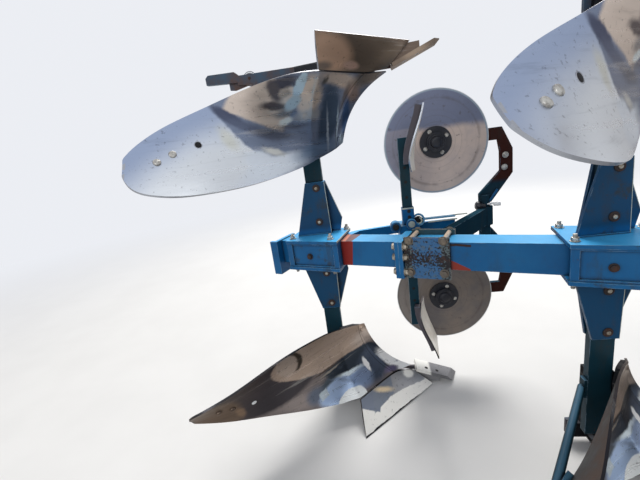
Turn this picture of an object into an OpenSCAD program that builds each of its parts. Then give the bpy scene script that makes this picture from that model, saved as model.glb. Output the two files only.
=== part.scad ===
// Mounted reversible mouldboard plough with three pairs of bodies.
// Millimetres. X is the direction of travel, Y points to the land side, Z is up.
// The lower bodies stand on the ground and throw to the right, towards -Y.
// The upper bodies are their mirror images about the beam's centreline.

/* [Layout] */
// Height of the beam's centreline over the ground
beam_height = 855; // [835:5:880]
// Distance between two bodies along the direction of travel
body_pitch = 1000; // [970:10:1040]
// Width that one body cuts
cut_width = 420; // [405:5:435]
// Clearance between pieces that seat on each other
fit = 0.3; // [0.2:0.05:0.5]

/* [Beam] */
// Outer side of the square beam
beam_side = 110; // [100:5:120]
// Wall of the square beam
beam_wall = 10; // [6:1:14]
// Reach of the beam behind the rear console's centre
beam_tail = 182; // [172:2:200]
// Distance from the rear console's centre to the joint of the bolted flanges
flange_at = 405; // [390:5:412]
// Thickness of each bolted flange
flange_thick = 16; // [10:1:20]
// Distance from the front console's centre to the beam's front end
beam_nose = 538; // [520:2:560]

/* [Consoles] */
// Length of the plates that clamp a console to the beam
clamp_span = 264; // [250:2:276]
// Reach of these plates from the beam's centreline to the near side
rim_near = 111; // [105:1:116]
// Reach of these plates from the beam's centreline to the far side
rim_far = 124; // [118:1:130]
// Thickness of these plates
rim_thick = 14; // [10:1:16]
// Thickness of the plates that hold a leg
cheek_thick = 12; // [8:1:15]
// Height of a leg's pocket, from the beam's centreline to its end
pocket_reach = 313; // [300:1:330]

/* [Legs and bodies] */
// Width of a leg along the direction of travel
leg_width = 80; // [70:2:90]
// Thickness of a leg
leg_thick = 30; // [25:1:35]
// Thickness of a mouldboard and its shin
board_thick = 8; // [6:0.5:10]
// Thickness of a share
share_thick = 11; // [8:0.5:13]
// Width of a share's point
point_width = 94; // [84:1:98]
// Thickness of a share's point
point_thick = 18; // [14:1:22]
// Thickness of a landside bar
landside_thick = 14; // [10:1:16]

/* [Skimmers] */
// Width of a skimmer's stem along the direction of travel
stem_width = 44; // [38:1:50]
// Thickness of a skimmer's stem
stem_thick = 22; // [16:1:26]
// Reach of a skimmer's stem from the beam's centreline
stem_reach = 455; // [440:5:470]
// Thickness of a skimmer's blade
blade_thick = 6; // [4:0.5:8]

/* [Disc coulters] */
// Diameter of a disc
disc_d = 500; // [460:10:520]
// Thickness of a disc
disc_thick = 5; // [4:0.5:8]
// Distance of a disc's axle from the beam's centreline
disc_reach = 409; // [395:2:425]
// Diameter of a disc's hub
hub_d = 152; // [130:2:170]
// Diameter of a disc's axle
axle_d = 30; // [24:1:36]

/* [Depth wheel] */
// Diameter of the depth wheel
wheel_d = 560; // [520:10:600]
// Width of the depth wheel's tyre
tyre_width = 150; // [120:5:160]
// Distance that the wheel's axle trails behind its arm's hinge
wheel_trail = 232; // [215:1:250]

/* [Headstock] */
// Length of the turnover shaft's bearing
bearing_len = 260; // [220:10:270]
// Diameter of the turnover shaft
shaft_d = 90; // [80:2:100]
// Distance between the shoulders of the lower link pins
link_spread = 825; // [800:5:850]
// Diameter of the lower link pins
link_pin_d = 28; // [27:0.5:29]
// Length of a lower link pin outside its shoulder
link_pin_len = 75; // [65:1:90]
// Height of the lower link pins over the ground
link_height = 495; // [470:5:520]
// Height of the top link's hole over the lower link pins
mast_height = 610; // [590:5:630]
// Diameter of the top link's hole
top_hole_d = 25.7; // [25.5:0.1:26.5]
// Gap between the top link's ears
top_gap = 54; // [52:1:64]
// Radius of the turnover crank
crank_r = 100; // [90:2:104]
// Height of the turnover cylinder's pivot over the shaft
cylinder_rise = 500; // [490:5:520]

/* [Hidden] */

// Places of the bodies, counted from the rear, and the beam's slant across the travel
rear = 0;
middle = 1;
front = 2;
PLACES = [rear, middle, front];
slant = atan(cut_width / body_pitch);
along = sqrt(body_pitch * body_pitch + cut_width * cut_width);
beam_reach = front * along + beam_nose;
console_x = -618;
console_y = -158;
front_x = front * body_pitch;
front_y = -front * cut_width;
rim_top = beam_side / 2 + fit + rim_thick;

// The leg stands beside the beam's centreline, between two cheeks
leg_back = console_x - 32;
leg_near = -138;
leg_far = leg_near + leg_thick;
leg_foot = 130;

// The point's bar runs back and up from the tip along the land side, and its tip is ground slanting
tip_x = 10;
tip_land = 38;
point_rise = 20.4;
point_len = 238;
point_sweep = 42;
point_bevel = 30;
point_edge = 4;
nose_y = tip_land - point_width;

// Mouldboard sections from the shin's seam to the tail, each one curve from the lower to the upper edge:
// lower edge x, y, z, upper edge x, y, z, hollow of the curve
SECTIONS = [
    [-332, -90, 112, -492, -98, 407, 46],
    [-425, -184, 108, -530, -140, 424, 44],
    [-510, -278, 105, -578, -198, 441, 42],
    [-607, -310, 105, -638, -276, 463, 38],
    [-745, -381, 135, -783, -480, 488, 34],
    [-915, -485, 199, -930, -680, 481, 28],
    [-1040, -569, 251, -1030, -747, 458, 18],
    [-1115, -630, 300, -1090, -750, 430, 8],
    [-1146, -672, 338, -1130, -722, 392, 2]];
share_corner = 2;
last = len(SECTIONS) - 1;
board_steps = 24;
rise_steps = 7;
shin_foot = [-236, -36, 113];
shin_head = [-462, -43, 386];
shin_hollow = 46;

// The share's cutting edge runs from the point's bar to the wing
share_nose = [-130, nose_y - 5, 8];
share_wing = [-495, -421, 2];
share_heel = [-236, nose_y - 5, 104];

// Small vector functions
function unit(v) = v / norm(v);
function mix(a, b, t) = a + (b - a) * t;
function part3(v, i) = [v[i], v[i + 1], v[i + 2]];

// Smooth run through four rows of a table
function smooth(a, b, c, d, t) = 0.5 * (2 * b + (c - a) * t + (2 * a - 5 * b + 4 * c - d) * t * t
    + (3 * b - a - 3 * c + d) * t * t * t);
// Section of the mouldboard at u, with the share's corner kept sharp
function section(u) = let (i = max(0, min(floor(u), last - 1)),
    before = (i == 0 || i == share_corner) ? i : i - 1,
    after = (i == last - 1 || i == share_corner - 1) ? i + 1 : i + 2)
    smooth(SECTIONS[before], SECTIONS[i], SECTIONS[i + 1], SECTIONS[after], u - i);
// Point on the mouldboard's working face: u counts sections, v runs from the lower to the upper edge
function on_board(u, v) = let (s = section(u), ahead = section(min(u + 0.1, last)),
    behind = section(max(u - 0.1, 0)), low = part3(s, 0), high = part3(s, 3),
    back = unit(cross(part3(ahead, 0) - part3(behind, 0) + part3(ahead, 3) - part3(behind, 3), high - low)))
    mix(low, high, v) + back * s[6] * 4 * v * (1 - v);
// Point on the shin's working face: u runs from its front edge to the seam
function on_shin(u, v) = let (chord = unit(shin_head - shin_foot), back = [-chord.z, 0, chord.x])
    mix(mix(shin_foot, shin_head, v) - back * -shin_hollow * 4 * v * (1 - v), on_board(0, v), u);
// Upper edge of the share: from the point's bar along the shin's foot, then along the mouldboard
function share_top(u) = u < 0.3 ? mix(share_heel, on_board(0, 0), u / 0.3)
    : on_board((u - 0.3) / 0.7 * share_corner, 0);
function on_share(u, v) = mix(mix(share_nose, share_wing, u), share_top(u), v);

// Backward directions of a grid of points. The columns on both sides of a seam get the same ones
function backs(g, seam = -1) = let (m = len(g) - 1, n = len(g[0]) - 1)
    [for (i = [0 : m]) let (a = max(i == seam ? i - 2 : i - 1, 0), b = min(i == seam - 1 ? i + 2 : i + 1, m))
        [for (j = [0 : n]) unit(cross(g[b][j] - g[a][j], g[i][min(j + 1, n)] - g[i][max(j - 1, 0)]))]];
// The grid's points from column a to column b and from row c to row e, moved back from the face:
// by edge in the grid's first row and by d in the others
function points_behind(g, back, d, edge, a, b, c, e) = [for (i = [a : b]) for (j = [c : e])
    g[i][j] + back[i][j] * (j == 0 ? edge : d)];

// Plate between two offsets behind a part of a grid of points, with its first row as thick as edge
module plate(g, back, from, to, a, b, c = 0, e = -1, edge = -1) {
    m = b - a + 1;
    end = e < 0 ? len(g[0]) - 1 : e;
    n = end - c + 1;
    k = m * n;
    quads = [
        for (i = [0 : m - 2]) for (j = [0 : n - 2])
            each [[i * n + j, (i + 1) * n + j, (i + 1) * n + j + 1, i * n + j + 1],
                [k + i * n + j, k + i * n + j + 1, k + (i + 1) * n + j + 1, k + (i + 1) * n + j]],
        for (i = [0 : m - 2])
            each [[i * n, k + i * n, k + (i + 1) * n, (i + 1) * n],
                [i * n + n - 1, (i + 1) * n + n - 1, k + (i + 1) * n + n - 1, k + i * n + n - 1]],
        for (j = [0 : n - 2])
            each [[j, j + 1, k + j + 1, k + j],
                [k - n + j, 2 * k - n + j, 2 * k - n + j + 1, k - n + j + 1]]];
    polyhedron(concat(points_behind(g, back, from, from, a, b, c, end),
        points_behind(g, back, to, edge < 0 ? to : edge, a, b, c, end)),
        [for (q = quads) each [[q[0], q[1], q[2]], [q[0], q[2], q[3]]]]);
}

// Grids: the shin and the mouldboard share one, so that their seam fits
board_first = 3;
board_end = board_first + board_steps;
skin = [for (u = concat([-1, -0.5, -0.01], [for (i = [0 : board_steps]) last * i / board_steps]))
    [for (j = [0 : rise_steps]) u < 0 ? on_shin(1 + u, j / rise_steps) : on_board(u, j / rise_steps)]];
skin_back = backs(skin, board_first);
share_grid = [for (u = [0, 0.15, 0.3, 0.5, 0.75, 1]) [for (v = [0, 0.35, 0.7, 0.994]) on_share(u, v)]];
share_back = backs(share_grid);
share_end = len(share_grid) - 1;

// Origin: middle of the plough's own box, on the ground
ear_front = front_x + 570;
disc_y = 98;
arm_thick = 20;
post_d = 50;
collar_d = 76;
post_x = 225;
post_y = 159;
board_points = concat(points_behind(skin, skin_back, 0, 0, board_first, board_end, 0, rise_steps),
    points_behind(skin, skin_back, board_thick, board_thick, board_first, board_end, 0, rise_steps));
x_low = min([for (p = board_points) p.x]);
y_low = min([for (p = board_points) p.y]) + front_y;
y_high = post_y + collar_d / 2;
shift = [-(x_low + ear_front) / 2, -(y_low + y_high) / 2, 0];

// Places
module at_body(k) {
    translate(shift + [k * body_pitch, -k * cut_width, 0]) children();
}
module both_ways() {
    children();
    translate([0, 0, 2 * beam_height]) mirror([0, 0, 1]) children();
}
module on_beam(s) {
    translate(shift + [console_x, console_y, beam_height]) rotate([0, 0, -slant])
        translate([s, 0, 0]) children();
}
// Place beside the beam in the rear body's own coordinates, from the way along it and the way out of it
function beside(s, out) = [console_x + s * cos(slant) + out * sin(slant),
    console_y - s * sin(slant) + out * cos(slant)];
// Flat plate in the plane of travel, from an outline in x and z, between two values of y
module upright(outline, y0, y1) {
    translate([0, y1, 0]) rotate([90, 0, 0]) linear_extrude(y1 - y0) polygon(outline);
}
module box_between(low, high) {
    translate(low) cube(high - low);
}

// The beam in two lengths, joined by bolted flanges
flange_width = 170;
flange_top = 62;
flange_drop = 92;
module beam_length(from, to) {
    difference() {
        box_between([from, -beam_side / 2, -beam_side / 2], [to, beam_side / 2, beam_side / 2]);
        box_between([from - 1, -beam_side / 2 + beam_wall, -beam_side / 2 + beam_wall],
            [to + 1, beam_side / 2 - beam_wall, beam_side / 2 - beam_wall]);
    }
}
module flange(from) {
    hollow = beam_side / 2 - beam_wall;
    difference() {
        box_between([from, -flange_width / 2, -flange_drop], [from + flange_thick, flange_width / 2, flange_top]);
        box_between([from - 1, -hollow, -hollow], [from + flange_thick + 1, hollow, hollow]);
    }
}
module beam_rear() {
    color("steelblue") on_beam(0) {
        beam_length(-beam_tail, flange_at - flange_thick);
        flange(flange_at - flange_thick - fit / 2);
        // End plate, taller than the beam
        box_between([-beam_tail - 18, -95, -104], [-beam_tail, 62, 60]);
        box_between([-beam_tail - 40, -95, -104], [-beam_tail - 17, -80, 60]);
    }
}
module beam_front() {
    color("steelblue") on_beam(0) {
        flange(flange_at + fit / 2);
        beam_length(flange_at + flange_thick, beam_reach);
        box_between([beam_reach - 1, -beam_side / 2, -beam_side / 2],
            [beam_reach + 12, beam_side / 2, beam_side / 2]);
        // Ears for the spindle on the beam's front end
        for (z = [-spindle_eye / 2 - fit - 14, spindle_eye / 2 + fit])
            translate([0, 0, z]) linear_extrude(14) {
                polygon([[beam_reach + 11, -45], [beam_reach + 12 + spindle_out, -32],
                    [beam_reach + 12 + spindle_out, 32], [beam_reach + 11, 45]]);
                translate([beam_reach + 12 + spindle_out, 0]) circle(r = 32, $fn = 48);
            }
        translate([beam_reach + 12 + spindle_out, 0, -spindle_eye / 2 - 24])
            cylinder(d = pin_d, h = spindle_eye + 48, $fn = 48);
    }
}

// Console: skewed plates clamped above and below the beam, joined by a framed plate on the near side
// and a bar on the far side, with a leg's pocket above and below
rim_skew = 0.18;
face_out = 98;
face_thick = 12;
frame_width = 25;
far_bar = 14;
module console(k) {
    inner = beam_side / 2 + fit;
    from = -clamp_span / 2 - 5;
    to = clamp_span / 2 - 5;
    first = from + rim_skew * rim_near + 2;
    end = to + rim_skew * rim_near - 2;
    color("steelblue") {
        on_beam(k * along) {
            for (z = [-rim_top, inner])
                translate([0, 0, z]) linear_extrude(rim_thick)
                    polygon([[from + rim_skew * rim_near, -rim_near], [to + rim_skew * rim_near, -rim_near],
                        [to - rim_skew * rim_far, rim_far], [from - rim_skew * rim_far, rim_far]]);
            // Near plate with its frame, and the webs that close its ends
            box_between([first, -face_out, -inner - 1], [end, -face_out + face_thick, inner + 1]);
            for (x = [first, end - frame_width])
                box_between([x, -face_out - 8, -inner - 1], [x + frame_width, -face_out + 1, inner + 1]);
            for (z = [-inner - 1, inner - 7])
                box_between([first, -face_out - 8, z], [end, -face_out + 1, z + 8]);
            for (x = [first + 8, end - 18])
                box_between([x, -face_out + face_thick - 1, -inner - 1], [x + 10, -inner, inner + 1]);
            // Bar along the beam's far face
            box_between([first - 10, inner, -inner - 1], [end - 32, inner + far_bar, inner + 1]);
        }
        at_body(k) both_ways() translate([0, 0, beam_height]) mirror([0, 0, 1]) pocket();
    }
}
// One leg's pocket, drawn upwards from the beam's centreline
module pocket() {
    base = rim_top - 1;
    near = [[console_x - 101, base], [console_x + 60, base], [leg_back + leg_width + 6, pocket_reach],
        [leg_back - 2, pocket_reach]];
    far = [[console_x - 73, base], [console_x + 100, base], [console_x + 114, 130],
        [leg_back + leg_width + 6, pocket_reach], [leg_back - 2, pocket_reach]];
    upright(near, leg_near - fit - cheek_thick, leg_near - fit);
    upright(far, leg_far + fit, leg_far + fit + cheek_thick);
    // Web that closes the pocket in front of the leg
    upright([[leg_back + leg_width + fit, base], [console_x + 58, base],
        [leg_back + leg_width + 6, pocket_reach], [leg_back + leg_width + fit, pocket_reach]],
        leg_near - fit - 1, leg_far + fit + 1);
}

// Legs: flat bars from the pockets down to the frogs
module legs(k) {
    color("teal") at_body(k) both_ways()
        box_between([leg_back, leg_near, leg_foot],
            [leg_back + leg_width, leg_far, beam_height - rim_top - fit]);
}

// Frogs: the castings that carry the share, the mouldboard and the landside
pad_thick = 14;
land_y = -15;
module frogs(k) {
    color("midnightblue") at_body(k) both_ways() frog();
}
module frog() {
    // Pads behind the mouldboard and behind the share
    plate(skin, skin_back, board_thick + fit, board_thick + pad_thick, 1, board_first + 5);
    plate(share_grid, share_back, share_thick + fit, share_thick + pad_thick, 1, 4, 1);
    // Cheek beside the leg
    upright([[-648, 150], [-560, 42], [-300, 42], [-330, 78], [-385, 112], [-440, 158], [-490, 220],
        [-520, 290], [-538, 370], [-560, 400], [-648, 400]], leg_far + fit, leg_far + fit + 24);
    // Nose under the point's bar, and flange along the landside
    upright([[-640, 30], [-90, 12], [-90, (tip_x + 90) * tan(point_rise) - fit],
        [-222, (tip_x + 222) * tan(point_rise) - fit], [-300, 96], [-640, 96]],
        nose_y + 7, land_y - landside_thick - fit);
    // Lug under the point beside the landside's end
    upright([[-205, 36], [-96, 14], [-96, (tip_x + 96) * tan(point_rise) - 2 * fit],
        [-205, (tip_x + 205) * tan(point_rise) - 2 * fit]], land_y - landside_thick - fit - 1, land_y + 30);
    box_between([-560, leg_far + 10, 42], [-330, nose_y + 10, 62]);
    box_between([-600, leg_far + 10, 42], [-560, -40, 62]);
}

module mouldboards(k) {
    color("lightsteelblue") at_body(k) both_ways() plate(skin, skin_back, 0, board_thick, board_first, board_end);
}
module shins(k) {
    color("silver") at_body(k) both_ways()
        plate(skin, skin_back, 0, board_thick, 0, board_first - 1);
}
module shares(k) {
    color("gainsboro") at_body(k) both_ways()
        plate(share_grid, share_back, 0, share_thick, 0, share_end, edge = 2);
}
module points() {
    e = point_edge;
    h = point_thick;
    corner = -point_sweep;
    color("silver") for (k = PLACES) at_body(k) both_ways()
        translate([tip_x, tip_land, 0]) rotate([0, point_rise, 0]) polyhedron(
            [[0, 0, 0], [-point_len, 0, 0], [-point_len, -point_width, 0], [corner, -point_width, 0],
                [0, 0, e], [corner, -point_width, e], [-point_bevel, 0, h], [-point_len, 0, h],
                [-point_len, -point_width, h], [corner - point_bevel, -point_width, h]],
            [[0, 1, 2, 3], [6, 9, 8, 7], [0, 4, 6, 7, 1], [2, 8, 9, 5, 3], [1, 7, 8, 2], [3, 5, 4, 0],
                [5, 9, 6, 4]]);
}

// Landsides: bars that slide along the furrow's wall. The rear ones are longer and carry a heel
heel_x = -857;
heel_z = 41;
heel_d = 64;
module landsides() {
    color("saddlebrown") for (k = PLACES) at_body(k) both_ways() {
        if (k == rear) {
            upright([[-915, 22], [-215, 34], [-215, 98], [-640, 98], [-915, 62]], land_y - landside_thick, land_y);
            heel();
        } else
            box_between([-660, land_y - landside_thick, 30], [-215, land_y, 98]);
    }
}
// Heel: a wearing block behind the bar, on an arm with a round boss
module heel() {
    upright([[-1066, 12], [-1052, 0], [-925, 4], [-905, 22], [-905, 52], [-1066, 42]],
        land_y - landside_thick, land_y + 12);
    upright([[-960, 38], [heel_x - 10, heel_z - 24], [heel_x + 14, heel_z + 22], [-935, 82], [-960, 78]],
        land_y - 1, land_y + 10);
    translate([heel_x, land_y - 1, heel_z]) rotate([-90, 0, 0]) cylinder(d = heel_d, h = 19, $fn = 64);
}

// Stays: tubes from the legs' rear edges to pads behind the mouldboards' tails
stay_column = board_first + 15;
stay_row = 3;
stay_d = 26;
stay_foot = 12;
stay_z = 330;
module strut(a, b, d) {
    way = b - a;
    translate(a) rotate([0, acos(way.z / norm(way)), atan2(way.y, way.x)]) cylinder(d = d, h = norm(way), $fn = 48);
}
module mouldboard_stays() {
    pad = board_thick + fit;
    seat = skin[stay_column][stay_row] + skin_back[stay_column][stay_row] * (pad + 14);
    foot = [leg_back - fit - stay_foot, (leg_near + leg_far) / 2, stay_z];
    color("teal") for (k = PLACES) at_body(k) both_ways() {
        plate(skin, skin_back, pad, pad + 16, stay_column - 1, stay_column + 1, stay_row - 1, stay_row + 1);
        strut(foot, seat, stay_d);
        box_between([leg_back - fit - stay_foot, leg_near, stay_z - 38], [leg_back - fit, leg_far, stay_z + 38]);
    }
}

// Skimmers: small mouldboards on stems ahead of each body
stem_x = -199;
stem_y = -108;
skim_top = 546;
skim_bottom = 289;
skim_width = 175;
skim_steps = 8;
skimmer_grid = [for (i = [0 : skim_steps])
    [for (j = [0 : skim_steps]) on_skimmer(i / skim_steps, j / skim_steps)]];
skimmer_back = backs(skimmer_grid);
module skimmer_stems() {
    color("teal") for (k = PLACES) at_body(k) both_ways() {
        // Bracket that carries the blade
        plate(skimmer_grid, skimmer_back, blade_thick + fit, 36, 3, 5, 0, 7);
        box_between([stem_x - stem_width / 2, stem_y - stem_thick / 2, beam_height - stem_reach],
            [stem_x + stem_width / 2, stem_y + stem_thick / 2, beam_height - 3]);
    }
}
// Point on a skimmer's face: u runs from the land side to the furrow side, v from the tip to the rounded end.
// The blade twists towards its rounded end
function on_skimmer(u, v) = let (round = v < 0.5 ? 1 : sqrt(1 - 0.85 * pow((v - 0.5) / 0.5, 2)))
    [stem_x + mix(94, 35, v) - 120 * v * v * (1 - v) + (0.5 - u) * round * mix(24, 56, v * v),
        stem_y - 42 + (0.5 - u) * round * skim_width, mix(skim_bottom - 12 * u, skim_top, v)];
module skimmer_blades() {
    color("cornsilk") for (k = PLACES) at_body(k) both_ways() {
        plate(skimmer_grid, skimmer_back, 0, blade_thick, 0, skim_steps);
    }
}
carrier_z = 42;
sleeve_reach = 62;
carrier_y = -30;
collar_reach = 143;
module skimmer_carriers() {
    side = beam_side / 2 + fit + far_bar + fit;
    color("steelblue") for (k = PLACES) at_body(k) {
        carrier_end = k == rear ? 30 : -120;
        // Brace from the console's far side, then a bar along the travel, and collars round the stems
        translate([0, 0, beam_height]) difference() {
            union() {
                linear_extrude(carrier_z) polygon([beside(40, side), beside(112, side), [-430, carrier_y - 28],
                    [-270, carrier_y + 6], [carrier_end, carrier_y + 6], [carrier_end, carrier_y + 24],
                    [-285, carrier_y + 24], [-445, carrier_y - 8]]);
                box_between([stem_x - 45, stem_y - 30, -sleeve_reach], [stem_x + 45, carrier_y + 8, sleeve_reach]);
                box_between([stem_x - stem_width / 2 - 5, stem_y - 20, -collar_reach],
                    [stem_x + stem_width / 2 + 5, stem_y + 20, collar_reach]);
            }
            box_between([stem_x - stem_width / 2 - fit, stem_y - stem_thick / 2 - fit, -200],
                [stem_x + stem_width / 2 + fit, stem_y + stem_thick / 2 + fit, 200]);
        }
    }
}

// Disc coulters on the rear pair: clamp on the beam, arm, and post with two cranked stems
clamp_from = 424;
clamp_len = 174;
clamp_plate = 14;
clamp_top = 76;
clamp_drop = 92;
bolt_d = 18;
module coulter_clamp() {
    color("steelblue") on_beam(clamp_from) {
        for (y = [-beam_side / 2 - fit - clamp_plate, beam_side / 2 + fit])
            box_between([0, y, -clamp_drop], [clamp_len, y + clamp_plate, clamp_top]);
        for (x = [22, clamp_len - 22]) for (z = [-beam_side / 2 - bolt_d / 2 - 2, beam_side / 2 + bolt_d / 2 + 1])
            translate([x, beam_side / 2 + clamp_plate / 2, z]) rotate([90, 0, 0])
                cylinder(d = bolt_d, h = beam_side + clamp_plate, $fn = 32);
    }
}
module coulter_arms() {
    color("steelblue") coulter_arm();
    color("steelblue") at_body(rear) {
        // Post, and the arm that joins it to the far clamp plate
        translate([post_x, post_y, beam_height - 110]) cylinder(d = post_d, h = 220, $fn = 48);
        translate([post_x, post_y, beam_height - 48]) cylinder(d = collar_d, h = 96, $fn = 48);
        both_ways() translate([0, 0, beam_height]) mirror([0, 0, 1]) coulter_stem();
    }
}
module coulter_arm() {
    post_s = (post_x - console_x) * cos(slant) - (post_y - console_y) * sin(slant);
    post_out = (post_x - console_x) * sin(slant) + (post_y - console_y) * cos(slant);
    foot = beam_side / 2 + 2 * fit + clamp_plate;
    on_beam(0) translate([0, 0, -45]) linear_extrude(90)
        polygon([[clamp_from + 12, foot], [clamp_from + clamp_len - 12, foot], [clamp_from + clamp_len - 12, foot + 14],
            [clamp_from + 128, foot + 60], [post_s + 16, post_out - 20], [post_s - 16, post_out - 12],
            [clamp_from + 84, foot + 60], [clamp_from + 12, foot + 14]]);
}
// Cranked stem from the post over the disc's rim to its axle, drawn upwards
module coulter_stem() {
    elbow_x = 330;
    upright([[post_x - 30, 70], [post_x + 30, 70], [elbow_x + 30, 210], [elbow_x + 30, 330],
        [elbow_x - 20, disc_reach + 30], [-19, disc_reach + 30], [-19, disc_reach - 30],
        [elbow_x - 40, disc_reach - 30], [elbow_x - 30, 320], [elbow_x - 30, 225], [post_x - 30, 115]],
        post_y - arm_thick / 2, post_y + arm_thick / 2);
    translate([-19, post_y + arm_thick / 2, disc_reach]) rotate([90, 0, 0])
        cylinder(d = 78, h = arm_thick + 20, $fn = 48);
    translate([-19, post_y, disc_reach]) rotate([90, 0, 0])
        cylinder(d = axle_d, h = post_y - disc_y + 25, $fn = 48);
}
// Places a coulter's own pieces, with their turning axis along Y
module at_disc(side) {
    translate([-19, 0, beam_height + side * disc_reach]) rotate([90, 0, 0]) children();
}
module disc(side) {
    color("tan") at_body(rear) at_disc(side) translate([0, 0, -disc_y - disc_thick]) rotate_extrude($fn = 128)
        polygon([[hub_d / 4, 0], [disc_d / 2 - 22, 0], [disc_d / 2, disc_thick - 1], [disc_d / 2, disc_thick],
            [hub_d / 4, disc_thick]]);
}
module disc_hub(side) {
    color("black") at_body(rear) at_disc(side) translate([0, 0, -disc_y]) difference() {
        union() {
            translate([0, 0, fit]) cylinder(d = hub_d, h = 14, $fn = 96);
            cylinder(d = hub_d * 0.62, h = 32, $fn = 96);
            translate([0, 0, 31]) cylinder(d1 = hub_d * 0.4, d2 = hub_d * 0.34, h = 9, $fn = 96);
            translate([0, 0, -20]) cylinder(d = hub_d / 2 - 2 * fit, h = 22, $fn = 96);
        }
        translate([0, 0, -30]) cylinder(d = axle_d + 2 * fit, h = 30 + 26, $fn = 48);
    }
}

// Swing frame: two plates above and below the beam, from the turnover shaft to the pivot on the beam
turn_y = front_y + 200;
shaft_x = front_x + 30;
pivot_s = front * along - 512;
swing_plate = 15;
swing_z = 76;
pivot_x = console_x + pivot_s * cos(slant);
pivot_y = console_y - pivot_s * sin(slant);
spindle_x = front_x - 60;
spindle_y = front_y + 65;
spindle_eye = 34;
spindle_out = 45;
pin_d = 26;
module swing_frame() {
    color("steelblue") translate(shift + [0, 0, beam_height]) {
        for (z = [-swing_z - swing_plate, swing_z])
            translate([0, 0, z]) linear_extrude(swing_plate) difference() {
                polygon([[pivot_x - 75, pivot_y - 50], [pivot_x - 75, pivot_y + 60], [pivot_x - 30, pivot_y + 85],
                    [shaft_x - 26, turn_y + 110], [shaft_x - 26, turn_y - 110], [spindle_x + 40, spindle_y - 30],
                    [spindle_x - 30, spindle_y - 38], [pivot_x + 60, pivot_y - 80], [pivot_x - 30, pivot_y - 85]]);
                // Lightening holes on both sides of the web
                for (side = [-1, 1])
                    translate([shaft_x - 150, turn_y + side * 58]) circle(r = 30, $fn = 48);
            }
        // Head plate against the shaft's flange, and a web behind it
        box_between([shaft_x - 45, turn_y - 110, -swing_z - 1], [shaft_x - 25 - fit, turn_y + 110, swing_z + 1]);
        box_between([shaft_x - 300, turn_y - 10, -swing_z - 1], [shaft_x - 40, turn_y + 10, swing_z + 1]);
        // Pin and collars for the spindle's rear eye
        translate([spindle_x, spindle_y, -swing_z - swing_plate - 10])
            cylinder(d = pin_d, h = 2 * (swing_z + swing_plate + 10), $fn = 48);
        for (z = [-swing_z - 1, spindle_eye / 2 + fit])
            translate([spindle_x, spindle_y, z]) cylinder(d = 52, h = swing_z + 1 - spindle_eye / 2 - fit, $fn = 48);
        // Bosses on the beam at the vertical pivot
        for (z = [-swing_z - swing_plate - 22, beam_side / 2 + fit])
            translate([pivot_x, pivot_y, z]) cylinder(d = 90, h = swing_z + swing_plate + 22 - beam_side / 2 - fit,
                $fn = 48);
    }
}
module turnover_shaft() {
    color("dimgray") translate(shift + [shaft_x - 25, turn_y, beam_height]) rotate([0, 90, 0]) {
        cylinder(d = 230, h = 25, $fn = 96);
        cylinder(d = shaft_d, h = 25 + 30 + bearing_len + 10 + 25, $fn = 96);
        translate([0, 0, 25 + 30 + bearing_len + 10]) {
            cylinder(d = 130, h = 25, $fn = 64);
            linear_extrude(25) polygon([[-60, 0], [-38, crank_r], [38, crank_r], [60, 0]]);
            translate([0, crank_r, 0]) cylinder(d = 76, h = 25, $fn = 64);
        }
    }
}
// Threaded spindle between the swing frame and the beam's front end, with an eye at each end
module spindle() {
    end_s = beam_reach + 12 + spindle_out;
    end_x = console_x + end_s * cos(slant);
    end_y = console_y - end_s * sin(slant);
    reach = norm([spindle_x - end_x, spindle_y - end_y]);
    color("silver") translate(shift + [end_x, end_y, beam_height])
        rotate([0, 0, atan2(spindle_y - end_y, spindle_x - end_x)]) difference() {
            union() {
                for (x = [0, reach])
                    translate([x, 0, -spindle_eye / 2]) cylinder(r = 28, h = spindle_eye, $fn = 64);
                rotate([0, 90, 0]) cylinder(d = spindle_eye - 4, h = reach, $fn = 48);
                translate([reach * 0.24, 0, 0]) rotate([0, 90, 0]) cylinder(d = 46, h = reach * 0.52, $fn = 48);
            }
            for (x = [0, reach])
                translate([x, 0, -60]) cylinder(d = pin_d + 2 * fit, h = 120, $fn = 48);
        }
}

// Depth wheel on a hanging arm at the land side of the beam
wheel_s = front * along - 262;
wheel_reach = 560;
hinge_x = console_x + wheel_s * cos(slant) + wheel_reach * sin(slant);
hinge_y = console_y - wheel_s * sin(slant) + wheel_reach * cos(slant);
wheel_x = hinge_x - wheel_trail;
hub_end = tyre_width - 20;
tyre_near = hinge_y + 60;
module wheel_bracket() {
    color("steelblue") {
        on_beam(wheel_s) {
            box_between([-70, beam_side / 2 + fit, -70], [70, beam_side / 2 + 16, 70]);
            box_between([-40, beam_side / 2 + 15, -40], [40, wheel_reach - 20, 40]);
        }
        translate(shift + [hinge_x, hinge_y, beam_height]) rotate([90, 0, 0])
            translate([0, 0, -20]) cylinder(d = 90, h = 70, $fn = 64);
        translate(shift + [hinge_x, hinge_y, beam_height]) rotate([-90, 0, 0])
            cylinder(d = 40, h = 50, $fn = 64);
    }
}
module wheel_fork() {
    color("steelblue") translate(shift + [0, hinge_y + 22, 0]) {
        difference() {
            hull() {
                translate([hinge_x, 0, beam_height]) rotate([-90, 0, 0]) cylinder(d = 90, h = 24, $fn = 32);
                translate([wheel_x, 0, wheel_d / 2]) rotate([-90, 0, 0]) cylinder(d = 70, h = 24, $fn = 32);
            }
            translate([hinge_x, -1, beam_height]) rotate([-90, 0, 0])
                cylinder(d = 40 + 2 * fit, h = 40, $fn = 64);
        }
        translate([wheel_x, 0, wheel_d / 2]) rotate([-90, 0, 0]) cylinder(d = axle_d, h = hub_end + 60 - 22 - 8, $fn = 48);
    }
}
module at_wheel() {
    translate(shift + [wheel_x, tyre_near, wheel_d / 2]) rotate([-90, 0, 0]) children();
}
rim_d = wheel_d - 170;
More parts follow.
